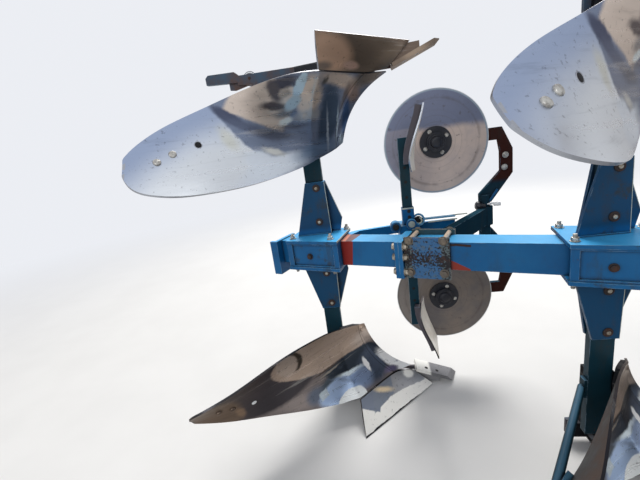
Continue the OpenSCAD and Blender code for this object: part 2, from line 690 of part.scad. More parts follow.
module wheel_rim() {
    color("steelblue") at_wheel() difference() {
        union() {
            // Rim with a flange at each side, and a coned dish down to the hub
            rotate_extrude($fn = 96) polygon([[rim_d / 2 - 8, 12], [rim_d / 2 - fit, 12],
                [rim_d / 2 - fit, tyre_width - 12], [rim_d / 2 - 8, tyre_width - 12]]);
            rotate_extrude($fn = 96) polygon([[38, 52], [75, 52], [120, tyre_width / 2 + 2],
                [rim_d / 2 - 7, tyre_width / 2 + 2], [rim_d / 2 - 7, tyre_width / 2 + 10],
                [116, tyre_width / 2 + 10], [71, 60], [38, 60]]);
            translate([0, 0, 5]) cylinder(d = 80, h = hub_end - 5, $fn = 64);
        }
        translate([0, 0, -1]) cylinder(d = axle_d + 2 * fit, h = hub_end - 4, $fn = 48);
    }
}
module wheel_tyre() {
    w = tyre_width;
    color("dimgray") at_wheel() rotate_extrude($fn = 96) polygon([[rim_d / 2, 14], [rim_d / 2 + 20, 4],
        [wheel_d / 2 - 30, 0], [wheel_d / 2 - 8, 14], [wheel_d / 2, 36], [wheel_d / 2, w - 36],
        [wheel_d / 2 - 8, w - 14], [wheel_d / 2 - 30, w], [rim_d / 2 + 20, w - 4], [rim_d / 2, w - 14]]);
}

// Headstock: tower with the shaft's bearing, the link points and the parking stand
tower_half = 125;
tower_plate = 16;
bearing_x = shaft_x + 30;
bearing_front = bearing_x + bearing_len;
link_x = front_x + 500;
top_x = front_x + 540;
top_z = link_height + mast_height;
shaft_cross = 50;
cylinder_x = bearing_front + 10 + 25 + 10;
eye_width = 45;
eye_pin = 30;
stand_x = front_x + 220;
stand_y = turn_y - tower_half - tower_plate - 36;
stand_side = 50;
module at_tower() {
    color("steelblue") translate(shift + [0, turn_y, 0]) children();
}
// Two side plates with the bosses for the cross shaft and a lightening hole above and below the bearing
module headstock_plates() {
    at_tower() difference() {
        union() {
            for (y = [-tower_half - tower_plate, tower_half])
                upright([[bearing_x, beam_height - 120], [bearing_x + 90, beam_height - 200],
                    [link_x - 60, link_height - 70], [link_x + 45, link_height - 60],
                    [link_x + 55, link_height + 50], [bearing_front, beam_height - 110],
                    [bearing_front, beam_height + 180], [top_x - 60, top_z - 60], [top_x - 60, top_z + 70],
                    [bearing_front + 122, beam_height + cylinder_rise + 50],
                    [bearing_front, beam_height + cylinder_rise + 50], [bearing_x, beam_height + 120]],
                    y, y + tower_plate);
            for (y = [-tower_half - tower_plate - 14, tower_half - 1])
                translate([link_x, y + tower_plate + 15, link_height]) rotate([90, 0, 0])
                    cylinder(d = 100, h = tower_plate + 15, $fn = 64);
        }
        translate([link_x, 200, link_height]) rotate([90, 0, 0])
            cylinder(d = shaft_cross + 2 * fit, h = 400, $fn = 64);
        for (spot = [[bearing_x + 240, beam_height - 205, 42], [bearing_front - 60, beam_height + 235, 48],
            [bearing_front - 45, beam_height + 370, 34]])
            translate([spot.x, 200, spot.y]) rotate([90, 0, 0]) cylinder(r = spot.z, h = 400, $fn = 64);
    }
}
// Bearing tube for the turnover shaft, with a cross plate at each end
module headstock_bearing() {
    inside = tower_half - fit;
    at_tower() difference() {
        union() {
            for (x = [bearing_x, bearing_front - 16])
                box_between([x, -inside, beam_height - 110], [x + 16, inside, beam_height + 110]);
            translate([bearing_x, 0, beam_height]) rotate([0, 90, 0]) cylinder(d = 150, h = bearing_len, $fn = 96);
        }
        translate([bearing_x - 1, 0, beam_height]) rotate([0, 90, 0])
            cylinder(d = shaft_d + 2 * fit, h = bearing_len + 2, $fn = 96);
    }
}
// Cross plate at the tower's head with the two ears for the top link's pin
module top_link_ears() {
    inside = tower_half - fit;
    at_tower() difference() {
        union() {
            box_between([top_x - 75, -inside, top_z - 60], [top_x - 59, inside, top_z + 60]);
            for (y = [-top_gap / 2 - 18, top_gap / 2])
                upright([[top_x - 60, top_z - 60], [top_x, top_z - 32], [ear_front, top_z - 14],
                    [ear_front, top_z + 14], [top_x, top_z + 32], [top_x - 60, top_z + 60]], y, y + 18);
        }
        translate([top_x, 100, top_z]) rotate([90, 0, 0]) cylinder(d = top_hole_d, h = 200, $fn = 64);
    }
}
// Cross plates on both sides of the cylinder's eye, with its pin
module cylinder_pivot() {
    inside = tower_half - fit;
    pivot_z = beam_height + cylinder_rise;
    at_tower() {
        for (x = [cylinder_x - 12 - 14, cylinder_x + eye_width + 12])
            box_between([x, -inside, pivot_z - 30], [x + 14, inside, pivot_z + 40]);
        translate([cylinder_x - 13, 0, pivot_z]) rotate([0, 90, 0])
            cylinder(d = eye_pin, h = eye_width + 26, $fn = 48);
    }
}
// Square guide of the parking stand on the tower's side
module stand_guide() {
    slot = stand_side / 2 + fit;
    at_tower() translate([stand_x, stand_y - turn_y, 0]) difference() {
        box_between([-36, -36, 560], [36, 36 - fit, 700]);
        box_between([-slot, -slot, 500], [slot, slot, 800]);
    }
}
module cross_shaft() {
    half = link_spread / 2;
    color("dimgray") translate(shift + [link_x, turn_y, link_height]) rotate([90, 0, 0]) {
        translate([0, 0, -half]) cylinder(d = shaft_cross, h = link_spread, $fn = 64);
        translate([0, 0, -half - link_pin_len]) cylinder(d = link_pin_d, h = link_spread + 2 * link_pin_len,
            $fn = 64);
    }
}
module stand_leg() {
    color("steelblue") translate(shift + [stand_x, stand_y, 0]) {
        box_between([-stand_side / 2, -stand_side / 2, 8], [stand_side / 2, stand_side / 2, 740]);
        box_between([-80, -80, 0], [80, 80, 10]);
    }
}

// Turnover cylinder: hangs from the tower's top, its eye stands in front of the crank
swing_angle = atan(crank_r / cylinder_rise);
cylinder_len = norm([crank_r, cylinder_rise]);
module at_cylinder() {
    translate(shift + [cylinder_x, turn_y, beam_height + cylinder_rise]) rotate([swing_angle, 0, 0])
        mirror([0, 0, 1]) children();
}
barrel_d = 64;
barrel_from = 20;
barrel_len = 300;
rod_d = 36;
rod_len = 270;
rod_eye = 70;
module cylinder_barrel() {
    color("black") at_cylinder() difference() {
        union() {
            rotate([0, 90, 0]) cylinder(d = barrel_d, h = eye_width, $fn = 64);
            translate([eye_width / 2, 0, barrel_from]) cylinder(d = barrel_d, h = barrel_len, $fn = 64);
            // Gland at the rod's end, and the two oil ports
            translate([eye_width / 2, 0, barrel_from + barrel_len - 30]) cylinder(d = barrel_d + 10, h = 30, $fn = 64);
            for (z = [barrel_from + 40, barrel_from + barrel_len - 50])
                translate([eye_width / 2, 0, z]) rotate([90, 0, 0]) cylinder(d = 24, h = barrel_d / 2 + 16, $fn = 48);
        }
        translate([-1, 0, 0]) rotate([0, 90, 0]) cylinder(d = eye_pin + 2 * fit, h = eye_width + 2, $fn = 48);
        translate([eye_width / 2, 0, barrel_from + 40]) cylinder(d = rod_d + 2 * fit, h = barrel_len, $fn = 48);
    }
}
module cylinder_rod() {
    color("silver") at_cylinder() {
        translate([eye_width / 2, 0, cylinder_len - rod_eye / 2 + 5 - rod_len])
            cylinder(d = rod_d, h = rod_len, $fn = 48);
        translate([0, 0, cylinder_len]) rotate([0, 90, 0]) cylinder(d = rod_eye, h = eye_width, $fn = 64);
    }
}

beam_rear();
beam_front();
console(rear);  // console_rear
console(middle);  // console_middle
console(front);  // console_front
legs(rear);  // legs_rear
legs(middle);  // legs_middle
legs(front);  // legs_front
frogs(rear);  // frogs_rear
frogs(middle);  // frogs_middle
frogs(front);  // frogs_front
mouldboards(rear);  // mouldboards_rear
mouldboards(middle);  // mouldboards_middle
mouldboards(front);  // mouldboards_front
shins(rear);  // shins_rear
shins(middle);  // shins_middle
shins(front);  // shins_front
shares(rear);  // shares_rear
shares(middle);  // shares_middle
shares(front);  // shares_front
points();
landsides();
mouldboard_stays();
skimmer_stems();
skimmer_blades();
skimmer_carriers();
coulter_clamp();
coulter_arms();
disc(1);  // disc_upper
disc_hub(1);  // disc_hub_upper
disc(-1);  // disc_lower
disc_hub(-1);  // disc_hub_lower
swing_frame();
turnover_shaft();
spindle();
wheel_bracket();
wheel_fork();
wheel_rim();
wheel_tyre();
headstock_plates();
headstock_bearing();
top_link_ears();
cylinder_pivot();
stand_guide();
cross_shaft();
stand_leg();
cylinder_barrel();
cylinder_rod();
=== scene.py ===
"""Looks of a mounted reversible plough: a finish for every surface, and the small pieces on it."""
import logging
import math
from dataclasses import dataclass, field
from enum import Enum
from typing import ClassVar, Optional, Sequence

import bmesh
import bpy
from mathutils import Matrix, Vector
from mathutils.bvhtree import BVHTree


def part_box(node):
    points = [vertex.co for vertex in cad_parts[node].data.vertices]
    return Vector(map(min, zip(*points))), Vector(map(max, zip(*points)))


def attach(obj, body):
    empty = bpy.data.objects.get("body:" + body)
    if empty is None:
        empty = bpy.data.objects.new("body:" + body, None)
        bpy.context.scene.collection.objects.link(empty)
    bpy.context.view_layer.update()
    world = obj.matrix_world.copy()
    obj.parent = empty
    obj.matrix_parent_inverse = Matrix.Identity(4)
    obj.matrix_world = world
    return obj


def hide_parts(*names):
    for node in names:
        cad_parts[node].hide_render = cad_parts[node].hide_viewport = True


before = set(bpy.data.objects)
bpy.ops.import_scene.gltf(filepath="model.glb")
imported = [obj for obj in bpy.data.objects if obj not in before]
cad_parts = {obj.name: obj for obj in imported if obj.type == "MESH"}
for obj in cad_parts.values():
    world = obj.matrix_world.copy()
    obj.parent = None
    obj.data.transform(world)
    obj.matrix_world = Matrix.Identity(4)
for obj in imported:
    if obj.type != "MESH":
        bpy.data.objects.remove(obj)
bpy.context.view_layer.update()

LOG = logging.getLogger("plough")

Colour = tuple[float, float, float]
Socket = bpy.types.NodeSocket
Material = bpy.types.Material
Spot = tuple[float, ...]
Spots = tuple[Spot, ...]
PLACES = ("rear", "middle", "front")


# Layout


@dataclass(frozen=True)
class Layout:
    """Places that the pieces share, worked out from the frame's own nodes.

    Args:
        rear: Tip of the rear body's share point, on the ground.
        pitch: Distance between two bodies along the travel.
        cut: Distance between two bodies across the travel.
        height: Height of the beam's centreline.
    """

    rear: Vector
    pitch: float
    cut: float
    height: float

    LEG_BACK: ClassVar[float] = -0.650
    LEG_NEAR: ClassVar[float] = -0.138
    CONSOLE: ClassVar[Vector] = Vector((-0.618, -0.158, 0.0))

    @classmethod
    def from_frame(cls) -> "Layout":
        """Reads the layout from the legs and the points.

        Returns:
            The layout of this frame.
        """
        rear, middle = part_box("legs_rear")[0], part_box("legs_middle")[0]
        tip = Vector((rear.x - cls.LEG_BACK, rear.y - cls.LEG_NEAR, 0.0))
        return cls(tip, middle.x - rear.x, rear.y - middle.y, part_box("points")[1].z / 2)

    @property
    def slant(self) -> float:
        """Angle of the beam across the travel, in radians."""
        return math.atan2(self.cut, self.pitch)

    @property
    def along(self) -> float:
        """Distance between two consoles along the beam."""
        return math.hypot(self.cut, self.pitch)

    def body(self, place: int, x: float, y: float, z: float) -> Vector:
        """Returns a point of one body, from its own share point's tip."""
        return self.rear + Vector((place * self.pitch + x, y - place * self.cut, z))

    def beam(self, s: float, out: float, up: float) -> Vector:
        """Returns a point beside the beam: s along it, out towards the land side, up from its centreline."""
        turned = Matrix.Rotation(-self.slant, 3, "Z") @ Vector((s, out, up))
        return self.rear + self.CONSOLE + turned + Vector((0.0, 0.0, self.height))


# Materials


class Sheet:
    """A material's node sheet, with short calls that add nodes and join them."""

    def __init__(self, name: str) -> None:
        """Starts a material with its own shader.

        Args:
            name: Name of the material.
        """
        self.material = bpy.data.materials.new(name)
        self.material.use_nodes = True
        self.tree = self.material.node_tree
        self.shader = self.tree.nodes["Principled BSDF"]
        self.place = self.add("ShaderNodeTexCoord", {}).outputs["Object"]

    def put(self, value: object, socket: Socket) -> None:
        """Joins a socket's value, or writes a plain one.

        Args:
            value: An output socket, a number or a colour.
            socket: The input that takes it.
        """
        if isinstance(value, bpy.types.NodeSocket):
            self.tree.links.new(value, socket)
        elif isinstance(value, tuple) and len(value) == 3 and socket.type == "RGBA":
            socket.default_value = (*value, 1.0)
        else:
            socket.default_value = value

    def add(self, kind: str, inputs: dict[object, object], **settings: object) -> bpy.types.Node:
        """Adds a node.

        Args:
            kind: Its kind.
            inputs: What goes into its inputs, by their names or numbers.
            **settings: Its other settings.

        Returns:
            The node.
        """
        node = self.tree.nodes.new(kind)
        for name, setting in settings.items():
            setattr(node, name, setting)
        for key, value in inputs.items():
            self.put(value, node.inputs[key])
        return node

    def mapped(self, centre: Vector = Vector(), turn: float = 0.0,
               stretch: Sequence[float] = (1, 1, 1)) -> Socket:
        """Returns the place counted from a centre, turned about Z and stretched."""
        shifted = self.add("ShaderNodeMapping", {"Vector": self.place, "Location": -Vector(centre)})
        return self.stretched(shifted.outputs[0], turn, stretch)

    def stretched(self, place: Socket, turn: float, stretch: Sequence[float]) -> Socket:
        """Returns a place turned about Z and stretched."""
        inputs = {"Vector": place, "Rotation": (0.0, 0.0, turn), "Scale": stretch}
        return self.add("ShaderNodeMapping", inputs).outputs[0]

    def joined(self, x: Socket, y: Socket) -> Socket:
        """Returns the place that two coordinates make."""
        return self.add("ShaderNodeCombineXYZ", {0: x, 1: y}).outputs[0]

    def noise(self, scale: float, detail: float = 4.0, rough: float = 0.55,
              place: Optional[Socket] = None) -> Socket:
        """Returns a cloudy value between 0 and 1, with the given number of clouds to a metre."""
        inputs = {"Vector": place or self.place, "Scale": scale, "Detail": detail, "Roughness": rough}
        return self.add("ShaderNodeTexNoise", inputs).outputs["Fac"]

    def cells(self, scale: float) -> Socket:
        """Returns the distance to the nearest of scattered points."""
        return self.add("ShaderNodeTexVoronoi", {"Vector": self.place, "Scale": scale}).outputs["Distance"]

    def calc(self, operation: str, a: object, b: object = 0.0) -> Socket:
        """Returns a sum, product or other result of two values."""
        return self.add("ShaderNodeMath", {0: a, 1: b}, operation=operation).outputs[0]

    def plus(self, a: object, b: object) -> Socket:
        """Returns the sum of two values."""
        return self.calc("ADD", a, b)

    def minus(self, a: object, b: object) -> Socket:
        """Returns the first value less the second."""
        return self.calc("SUBTRACT", a, b)

    def times(self, a: object, b: object) -> Socket:
        """Returns the product of two values."""
        return self.calc("MULTIPLY", a, b)

    def step(self, value: Socket, low: float, high: float, start: float = 0.0, end: float = 1.0) -> Socket:
        """Returns a soft step from start to end as the value goes from low to high."""
        inputs = {"Value": value, "From Min": low, "From Max": high, "To Min": start, "To Max": end}
        return self.add("ShaderNodeMapRange", inputs, interpolation_type="SMOOTHSTEP").outputs[0]

    def inside(self, value: Socket, low: float, high: float, soft: float) -> Socket:
        """Returns 1 where the value lies between two limits, with soft ends."""
        return self.times(self.step(value, low - soft, low + soft),
                          self.step(value, high - soft, high + soft, 1.0, 0.0))

    def blend(self, amount: object, first: object, second: object) -> Socket:
        """Returns a mix of two colours."""
        return self.add("ShaderNodeMix", {0: amount, 6: first, 7: second}, data_type="RGBA").outputs[2]

    def distance(self, place: Socket, centre: Sequence[float]) -> Socket:
        """Returns the distance of a place from a centre."""
        return self.add("ShaderNodeVectorMath", {0: place, 1: centre}, operation="DISTANCE").outputs["Value"]

    def axes(self, place: Socket) -> bpy.types.bpy_prop_collection:
        """Returns the X, Y and Z sockets of a place."""
        return self.add("ShaderNodeSeparateXYZ", {0: place}).outputs

    def normal(self) -> Socket:
        """Returns the surface's own direction."""
        return self.add("ShaderNodeNewGeometry", {}).outputs["Normal"]

    def upward(self) -> Socket:
        """Returns how far the surface faces up."""
        return self.axes(self.normal())[2]

    def rounded(self, radius: float) -> Socket:
        """Returns the surface's direction with its sharp edges rounded."""
        return self.add("ShaderNodeBevel", {"Radius": radius}, samples=4).outputs[0]

    def worn_and_lit_edges(self, radius: float) -> Socket:
        """Returns 1 along sharp edges, as wide as the radius, and 0 on open faces."""
        product = self.add("ShaderNodeVectorMath", {0: self.rounded(radius), 1: self.normal()},
                           operation="DOT_PRODUCT")
        return self.step(product.outputs["Value"], 0.90, 0.995, 1.0, 0.0)

    def corners(self, reach: float) -> Socket:
        """Returns 1 in narrow, occluded corners and 0 on open faces: where painted shade goes, with the dirt
        that stays there.
        """
        shade = self.add("ShaderNodeAmbientOcclusion", {"Distance": reach}, samples=4)
        return self.step(shade.outputs["AO"], 0.45, 0.92, 1.0, 0.0)

    def bump(self, height: Socket, distance: float, rounded: Optional[Socket] = None) -> None:
        """Gives the surface a relief of the given depth, over rounded edges where they are given."""
        over = {} if rounded is None else {"Normal": rounded}
        self.put(self.add("ShaderNodeBump", {"Distance": distance, "Height": height, **over}).outputs[0],
                 self.shader.inputs["Normal"])

    def finish(self, colour: Socket, rough: object, metal: object = 0.0, gloss: float = 0.5) -> Material:
        """Joins the colour, roughness and metal to the shader.

        Args:
            colour: The surface's colour.
            rough: Its roughness.
            metal: How far it is bare metal.
            gloss: How strongly it mirrors where it is no metal.

        Returns:
            The material.
        """
        for name, value in (("Base Color", colour), ("Roughness", rough), ("Metallic", metal),
                            ("Specular IOR Level", gloss)):
            self.put(value, self.shader.inputs[name])
        return self.material


@dataclass(frozen=True)
class Band:
    """A part of the beam where another colour shows.

    Args:
        start: Its rear end along the beam, from the rear console's centre.
        end: Its front end.
        low: Its lower edge over the beam's centreline.
        high: Its upper edge.
        colour: What shows in it.
        lean: How far its front end moves forwards on each metre upwards.
        drop: How far its long edges sink on each metre along the beam.
        ragged: How far its outline wanders.
        skew: How far its front end moves forwards on each metre outwards.
        near: Whether it shows on the near side alone.
    """

    start: float
    end: float
    low: float
    high: float
    colour: Colour
    lean: float = 0.0
    drop: float = 0.0
    ragged: float = 0.0
    skew: float = 0.0
    near: bool = True


@dataclass(frozen=True)
class Paint:
    """Enamel that has stood outdoors: faded, with a painted lighter colour on its tops, painted highlights
    and some wear along its edges, and painted shade with dirt in its corners.

    Args:
        name: Name of the finish.
        colour: The paint's own colour.
        faded: Colour of its chalky places.
        painted_top_light: Colour painted on its upward faces, where the light falls from above: painted
            light.
        chips: Share of the surface that has chipped.
        grime: Strength of dark field dirt.
        bands: Places of other colours along the beam.
        away: Colour of the places far above and below the beam's centreline, if another.
        away_from: Height over the centreline where that colour starts.
        gloss: How strongly the enamel mirrors.
        smear: Strength of broad dark smears.
    """

    name: str
    colour: Colour
    faded: Colour
    painted_top_light: Colour = (0.072, 0.490, 0.930)
    chips: float = 0.02
    grime: float = 0.25
    bands: tuple[Band, ...] = ()
    away: Optional[Colour] = None
    away_from: float = 0.09
    gloss: float = 0.22
    smear: float = 0.15

    PRIMER: ClassVar[Colour] = (0.110, 0.030, 0.022)
    RUST: ClassVar[Colour] = (0.075, 0.036, 0.020)
    DIRT: ClassVar[Colour] = (0.030, 0.034, 0.032)
    # Colour of the painted shade, with dirt, in narrow corners
    CORNER_SHADE_AND_DIRT: ClassVar[Colour] = (0.008, 0.012, 0.018)
    # Colour of the painted highlights along the edges
    PALE: ClassVar[Colour] = (0.30, 0.47, 0.62)

    def banded(self, sheet: Sheet, layout: Layout, colour: object) -> object:
        """Returns the colour with the bands over it.

        Args:
            sheet: The material's sheet.
            layout: Where the beam runs.
            colour: The colour so far.

        Returns:
            The new colour.
        """
        if not self.bands:
            return colour
        centre = layout.rear + Layout.CONSOLE + Vector((0, 0, layout.height))
        beam = sheet.axes(sheet.mapped(centre, layout.slant))
        cloud = sheet.minus(sheet.noise(26, 5), 0.5)
        near = sheet.step(beam[1], -0.0546, -0.0542, 1.0, 0.0)
        for band in self.bands:
            wander = sheet.times(cloud, band.ragged)
            way = sheet.plus(beam[0], wander)
            end = sheet.minus(way, sheet.times(beam[2], band.lean))
            end = sheet.minus(end, sheet.times(beam[1], band.skew))
            up = sheet.plus(sheet.plus(beam[2], wander),
                            sheet.times(sheet.minus(beam[0], band.start), band.drop))
            shows = sheet.times(sheet.inside(end, band.start, band.end, 0.001),
                               sheet.inside(up, band.low, band.high, 0.001))
            side = near if band.near else sheet.minus(1.0, near)
            colour = sheet.blend(sheet.times(shows, side), colour, band.colour)
        return colour

    def build(self, layout: Layout) -> Material:
        """Builds the material.

        Args:
            layout: Where the beam runs, for the bands.

        Returns:
            The finished material.
        """
        sheet = Sheet(self.name)
        broad = sheet.noise(4.5, 5)
        colour = sheet.blend(sheet.step(broad, 0.38, 0.70), self.colour, self.faded)
        if self.away:
            height = sheet.axes(sheet.mapped(Vector((0, 0, layout.height))))[2]
            far = sheet.step(sheet.calc("ABSOLUTE", height), self.away_from - 0.01, self.away_from + 0.02)
            colour = sheet.blend(far, colour, self.away)
        streaks = sheet.noise(16, 6, 0.65, sheet.mapped(stretch=(1, 1, 0.3)))
        colour = sheet.blend(sheet.times(sheet.step(streaks, 0.5, 0.72), self.grime), colour, self.DIRT)
        smears = sheet.times(sheet.step(sheet.noise(11, 7, 0.7), 0.52, 0.66), self.smear)
        colour = sheet.blend(smears, colour, self.DIRT)
        # Upward faces take a lighter colour: painted light from above
        lit_tops = sheet.times(sheet.step(sheet.upward(), 0.6, 0.95),
                           sheet.step(sheet.noise(7, 5), 0.25, 0.6, 0.75, 1.0))
        colour = sheet.blend(lit_tops, colour, self.painted_top_light)
        colour = self.banded(sheet, layout, colour)
        # Narrow corners darken: painted shade, with dirt
        joint = sheet.corners(0.013)
        colour = sheet.blend(sheet.times(joint, 0.95), colour, self.CORNER_SHADE_AND_DIRT)
        rounded = sheet.rounded(0.0022)
        edge = sheet.times(sheet.worn_and_lit_edges(0.0032), sheet.minus(1.0, joint))
        # Edges turn pale in patches: a painted highlight where the edges catch the light
        pale = sheet.times(edge, sheet.step(sheet.noise(19, 4), 0.40, 0.60, 0.0, 0.75))
        colour = sheet.blend(pale, colour, self.PALE)
        specks = sheet.minus(1.0, sheet.noise(130, 3, 0.6))
        patches = sheet.times(sheet.step(sheet.noise(8, 3), 0.45, 0.75), 0.06 + self.chips)
        bare = sheet.plus(sheet.plus(specks, sheet.times(edge, 0.05)), patches)
        limit = 0.77 - self.chips
        chipped = sheet.step(bare, limit, limit + 0.02)
        metal = sheet.blend(sheet.step(sheet.noise(40), 0.4, 0.6), self.PRIMER, self.RUST)
        colour = sheet.blend(chipped, colour, metal)
        rough = sheet.plus(sheet.step(broad, 0.3, 0.8, 0.34, 0.50), sheet.times(chipped, 0.3))
        relief = sheet.minus(sheet.times(sheet.noise(240, 2), 0.15), chipped)
        sheet.bump(relief, 0.0004, rounded)
        return sheet.finish(colour, rough, 0.0, self.gloss)


@dataclass(frozen=True)
class StemPaint(Paint):
    """Enamel of the skimmers' stems, with bare brackets of dark steel in front of them."""

    BRACKET: ClassVar[Colour] = (0.100, 0.090, 0.105)
    BRACKET_FROM: ClassVar[float] = -0.1195
    STEM_MIDDLE: ClassVar[float] = -0.11

    def banded(self, sheet: Sheet, layout: Layout, colour: object) -> object:
        """Returns the colour with the brackets' steel over it.

        Args:
            sheet: The material's sheet.
            layout: Where the bodies stand.
            colour: The colour so far.

        Returns:
            The new colour.
        """
        out = sheet.axes(sheet.mapped(layout.rear))[1]
        number = sheet.calc("ROUND", sheet.calc("DIVIDE", sheet.minus(out, self.STEM_MIDDLE), -layout.cut))
        near = sheet.plus(out, sheet.times(number, layout.cut))
        shows = sheet.step(near, self.BRACKET_FROM - 0.001, self.BRACKET_FROM, 1.0, 0.0)
        return sheet.blend(shows, colour, self.BRACKET)


@dataclass(frozen=True)
class ChippedPlate:
    """Clamp plates: the near one's paint has flaked off in islands, the far one is dull, the studs are bare.

    Args:
        name: Name of the finish.
        middle: Place of the plates' middle along the beam, from the rear console's centre.
    """

    name: str
    middle: float = 0.511
    BLUE: ClassVar[Colour] = (0.016, 0.110, 0.270)
    OLIVE: ClassVar[Colour] = (0.080, 0.115, 0.125)
    RUST: ClassVar[Colour] = (0.038, 0.016, 0.013)
    BLACK: ClassVar[Colour] = (0.006, 0.005, 0.008)
    MAUVE: ClassVar[Colour] = (0.100, 0.045, 0.050)
    FAR: ClassVar[Colour] = (0.024, 0.065, 0.078)
    BARE: ClassVar[Colour] = (0.80, 0.62, 0.46)

    def build(self, layout: Layout) -> Material:
        """Builds the material.

        Args:
            layout: Where the beam runs.

        Returns:
            The finished material.
        """
        sheet = Sheet(self.name)
        centre = layout.rear + Layout.CONSOLE + Vector((0, 0, layout.height - 0.006))
        beam = sheet.axes(sheet.mapped(centre, layout.slant))
        across = sheet.calc("ABSOLUTE", sheet.minus(beam[0], self.middle))
        sides = sheet.step(sheet.plus(across, sheet.times(sheet.noise(30, 4), 0.04)), 0.066, 0.082)
        colour = sheet.blend(sides, self.BLUE, self.OLIVE)
        worn = sheet.step(sheet.noise(60, 5, 0.7), 0.52, 0.58)
        colour = sheet.blend(sheet.times(worn, 0.6), colour, self.OLIVE)
        belt = sheet.inside(sheet.plus(beam[2], sheet.times(beam[0], 0.10)), 0.016, 0.076, 0.022)
        density = sheet.plus(sheet.times(belt, 0.125), sheet.times(sides, 0.060))
        rust = sheet.step(sheet.plus(sheet.noise(125, 5, 0.62), density), 0.585, 0.600)
        dark = sheet.noise(60, 3)
        metal = sheet.blend(sheet.step(dark, 0.36, 0.46), self.RUST, self.BLACK)
        metal = sheet.blend(sheet.step(dark, 0.63, 0.69), metal, self.MAUVE)
        colour = sheet.blend(rust, colour, metal)
        studs = sheet.inside(beam[1], -0.0545, 0.0543, 0.0003)
        far = sheet.step(beam[1], 0.0546, 0.0549)
        colour = sheet.blend(far, colour, self.FAR)
        colour = sheet.blend(studs, colour, self.BARE)
        rounded = sheet.rounded(0.0025)
        edge = sheet.worn_and_lit_edges(0.003)
        # Edges that face up take the bare colour: a painted highlight where they catch the light from above
        pale = sheet.times(edge, sheet.step(sheet.upward(), 0.05, 0.5, 0.05, 0.85))
        colour = sheet.blend(pale, colour, self.BARE)
        sheet.bump(sheet.minus(1.0, rust), 0.0006, rounded)
        return sheet.finish(colour, sheet.step(rust, 0.0, 1.0, 0.42, 0.75))


@dataclass(frozen=True)
class Metal:
    """Plain metal with cloudy tones: forged, cast, plated or machined.

    Args:
        name: Name of the finish.
        colour: Its main colour.
        second: Colour of its clouds.
        rough: Lowest and highest roughness.
        metallic: How far it is bare metal.
        scale: Size of the clouds.
        relief: Depth of its grain.
    """

    name: str
    colour: Colour
    second: Colour
    rough: Spot = (0.35, 0.6)
    metallic: float = 1.0
    scale: float = 18.0
    relief: float = 0.0003

    def build(self, layout: Layout) -> Material:
        """Builds the material.

        Args:
            layout: Where the plough stands.

        Returns:
            The finished material.
        """
        sheet = Sheet(self.name)
        cloud = sheet.noise(self.scale, 5, 0.6)
        colour = sheet.blend(sheet.step(cloud, 0.38, 0.68), self.colour, self.second)
        sheet.bump(sheet.noise(self.scale * 14, 3), self.relief)
        return sheet.finish(colour, sheet.step(cloud, 0.3, 0.7, *self.rough), self.metallic)


@dataclass(frozen=True)
class DiscSteel:
    """Dull disc steel: rings turned by the soil round the axle, a dark bevel and a bright rim.

    Args:
        name: Name of the finish.
        axle: Place of the disc's middle.
        radius: The disc's radius.
        colour: Its main colour.
        second: Colour of its clouds.
        top: Colour of its upper part.
        top_from: Height over the axle where the upper part starts.
        side: How far the rear side takes the top's colour.
        bevel: Colour of the ground edge.
    """

    name: str
    axle: Vector
    radius: float
    colour: Colour
    second: Colour
    top: Colour
    top_from: float
    side: float
    bevel: Colour
    RIM: ClassVar[Colour] = (0.62, 0.64, 0.66)
    STAIN: ClassVar[Colour] = (0.10, 0.08, 0.07)

    def build(self, layout: Layout) -> Material:
        """Builds the material.

        Args:
            layout: Where the plough stands.

        Returns:
            The finished material.
        """
        sheet = Sheet(self.name)
        place = sheet.mapped(self.axle)
        xyz = sheet.axes(place)
        radius = sheet.calc("SQRT", sheet.plus(sheet.times(xyz[0], xyz[0]), sheet.times(xyz[2], xyz[2])))
        rings = sheet.noise(90, 3, 0.6, sheet.joined(radius, 0.0))
        cloud = sheet.noise(5, 5, 0.6, place)
        colour = sheet.blend(sheet.step(cloud, 0.35, 0.7), self.colour, self.second)
        height = sheet.plus(xyz[2], sheet.times(cloud, 0.04))
        above = sheet.step(height, self.top_from - 0.010, self.top_from + 0.030)
        back = sheet.step(sheet.minus(xyz[0], sheet.times(xyz[2], 0.3)), -0.16, -0.11, self.side, 0.0)
        colour = sheet.blend(sheet.calc("MAXIMUM", above, back), colour, self.top)
        colour = sheet.blend(sheet.step(rings, 0.5, 0.7, 0.0, 0.25), colour, self.STAIN)
        spots = sheet.times(sheet.step(sheet.noise(55, 4), 0.62, 0.70), 0.45)
        colour = sheet.blend(spots, colour, self.STAIN)
        worn = sheet.inside(radius, self.radius * 0.80, self.radius * 0.86, 0.006)
        colour = sheet.blend(sheet.times(worn, sheet.step(cloud, 0.45, 0.60, 0.0, 0.30)), colour, self.STAIN)
        colour = sheet.blend(sheet.step(radius, self.radius - 0.010, self.radius - 0.008), colour, self.bevel)
        colour = sheet.blend(sheet.step(radius, self.radius - 0.0035, self.radius - 0.0025), colour, self.RIM)
        sheet.bump(sheet.plus(rings, sheet.noise(300, 2)), 0.00012)
        return sheet.finish(colour, sheet.step(cloud, 0.3, 0.7, 0.42, 0.58), 0.85)


@dataclass(frozen=True)
class Rubber:
    """Tyre rubber with pale field dust in its hollows.

    Args:
        name: Name of the finish.
        colour: The rubber's own colour.
        dust: Colour of the dust.
    """

    name: str
    colour: Colour = (0.020, 0.019, 0.018)
    dust: Colour = (0.17, 0.14, 0.11)

    def build(self, layout: Layout) -> Material:
        """Builds the material.

        Args:
            layout: Where the plough stands.

        Returns:
            The finished material.
        """
        sheet = Sheet(self.name)
        cloud = sheet.noise(11, 6, 0.65)
        colour = sheet.blend(sheet.step(cloud, 0.4, 0.85, 0.0, 0.7), self.colour, self.dust)
        sheet.bump(sheet.noise(240, 3), 0.0005)
        return sheet.finish(colour, sheet.step(cloud, 0.3, 0.8, 0.62, 0.9))


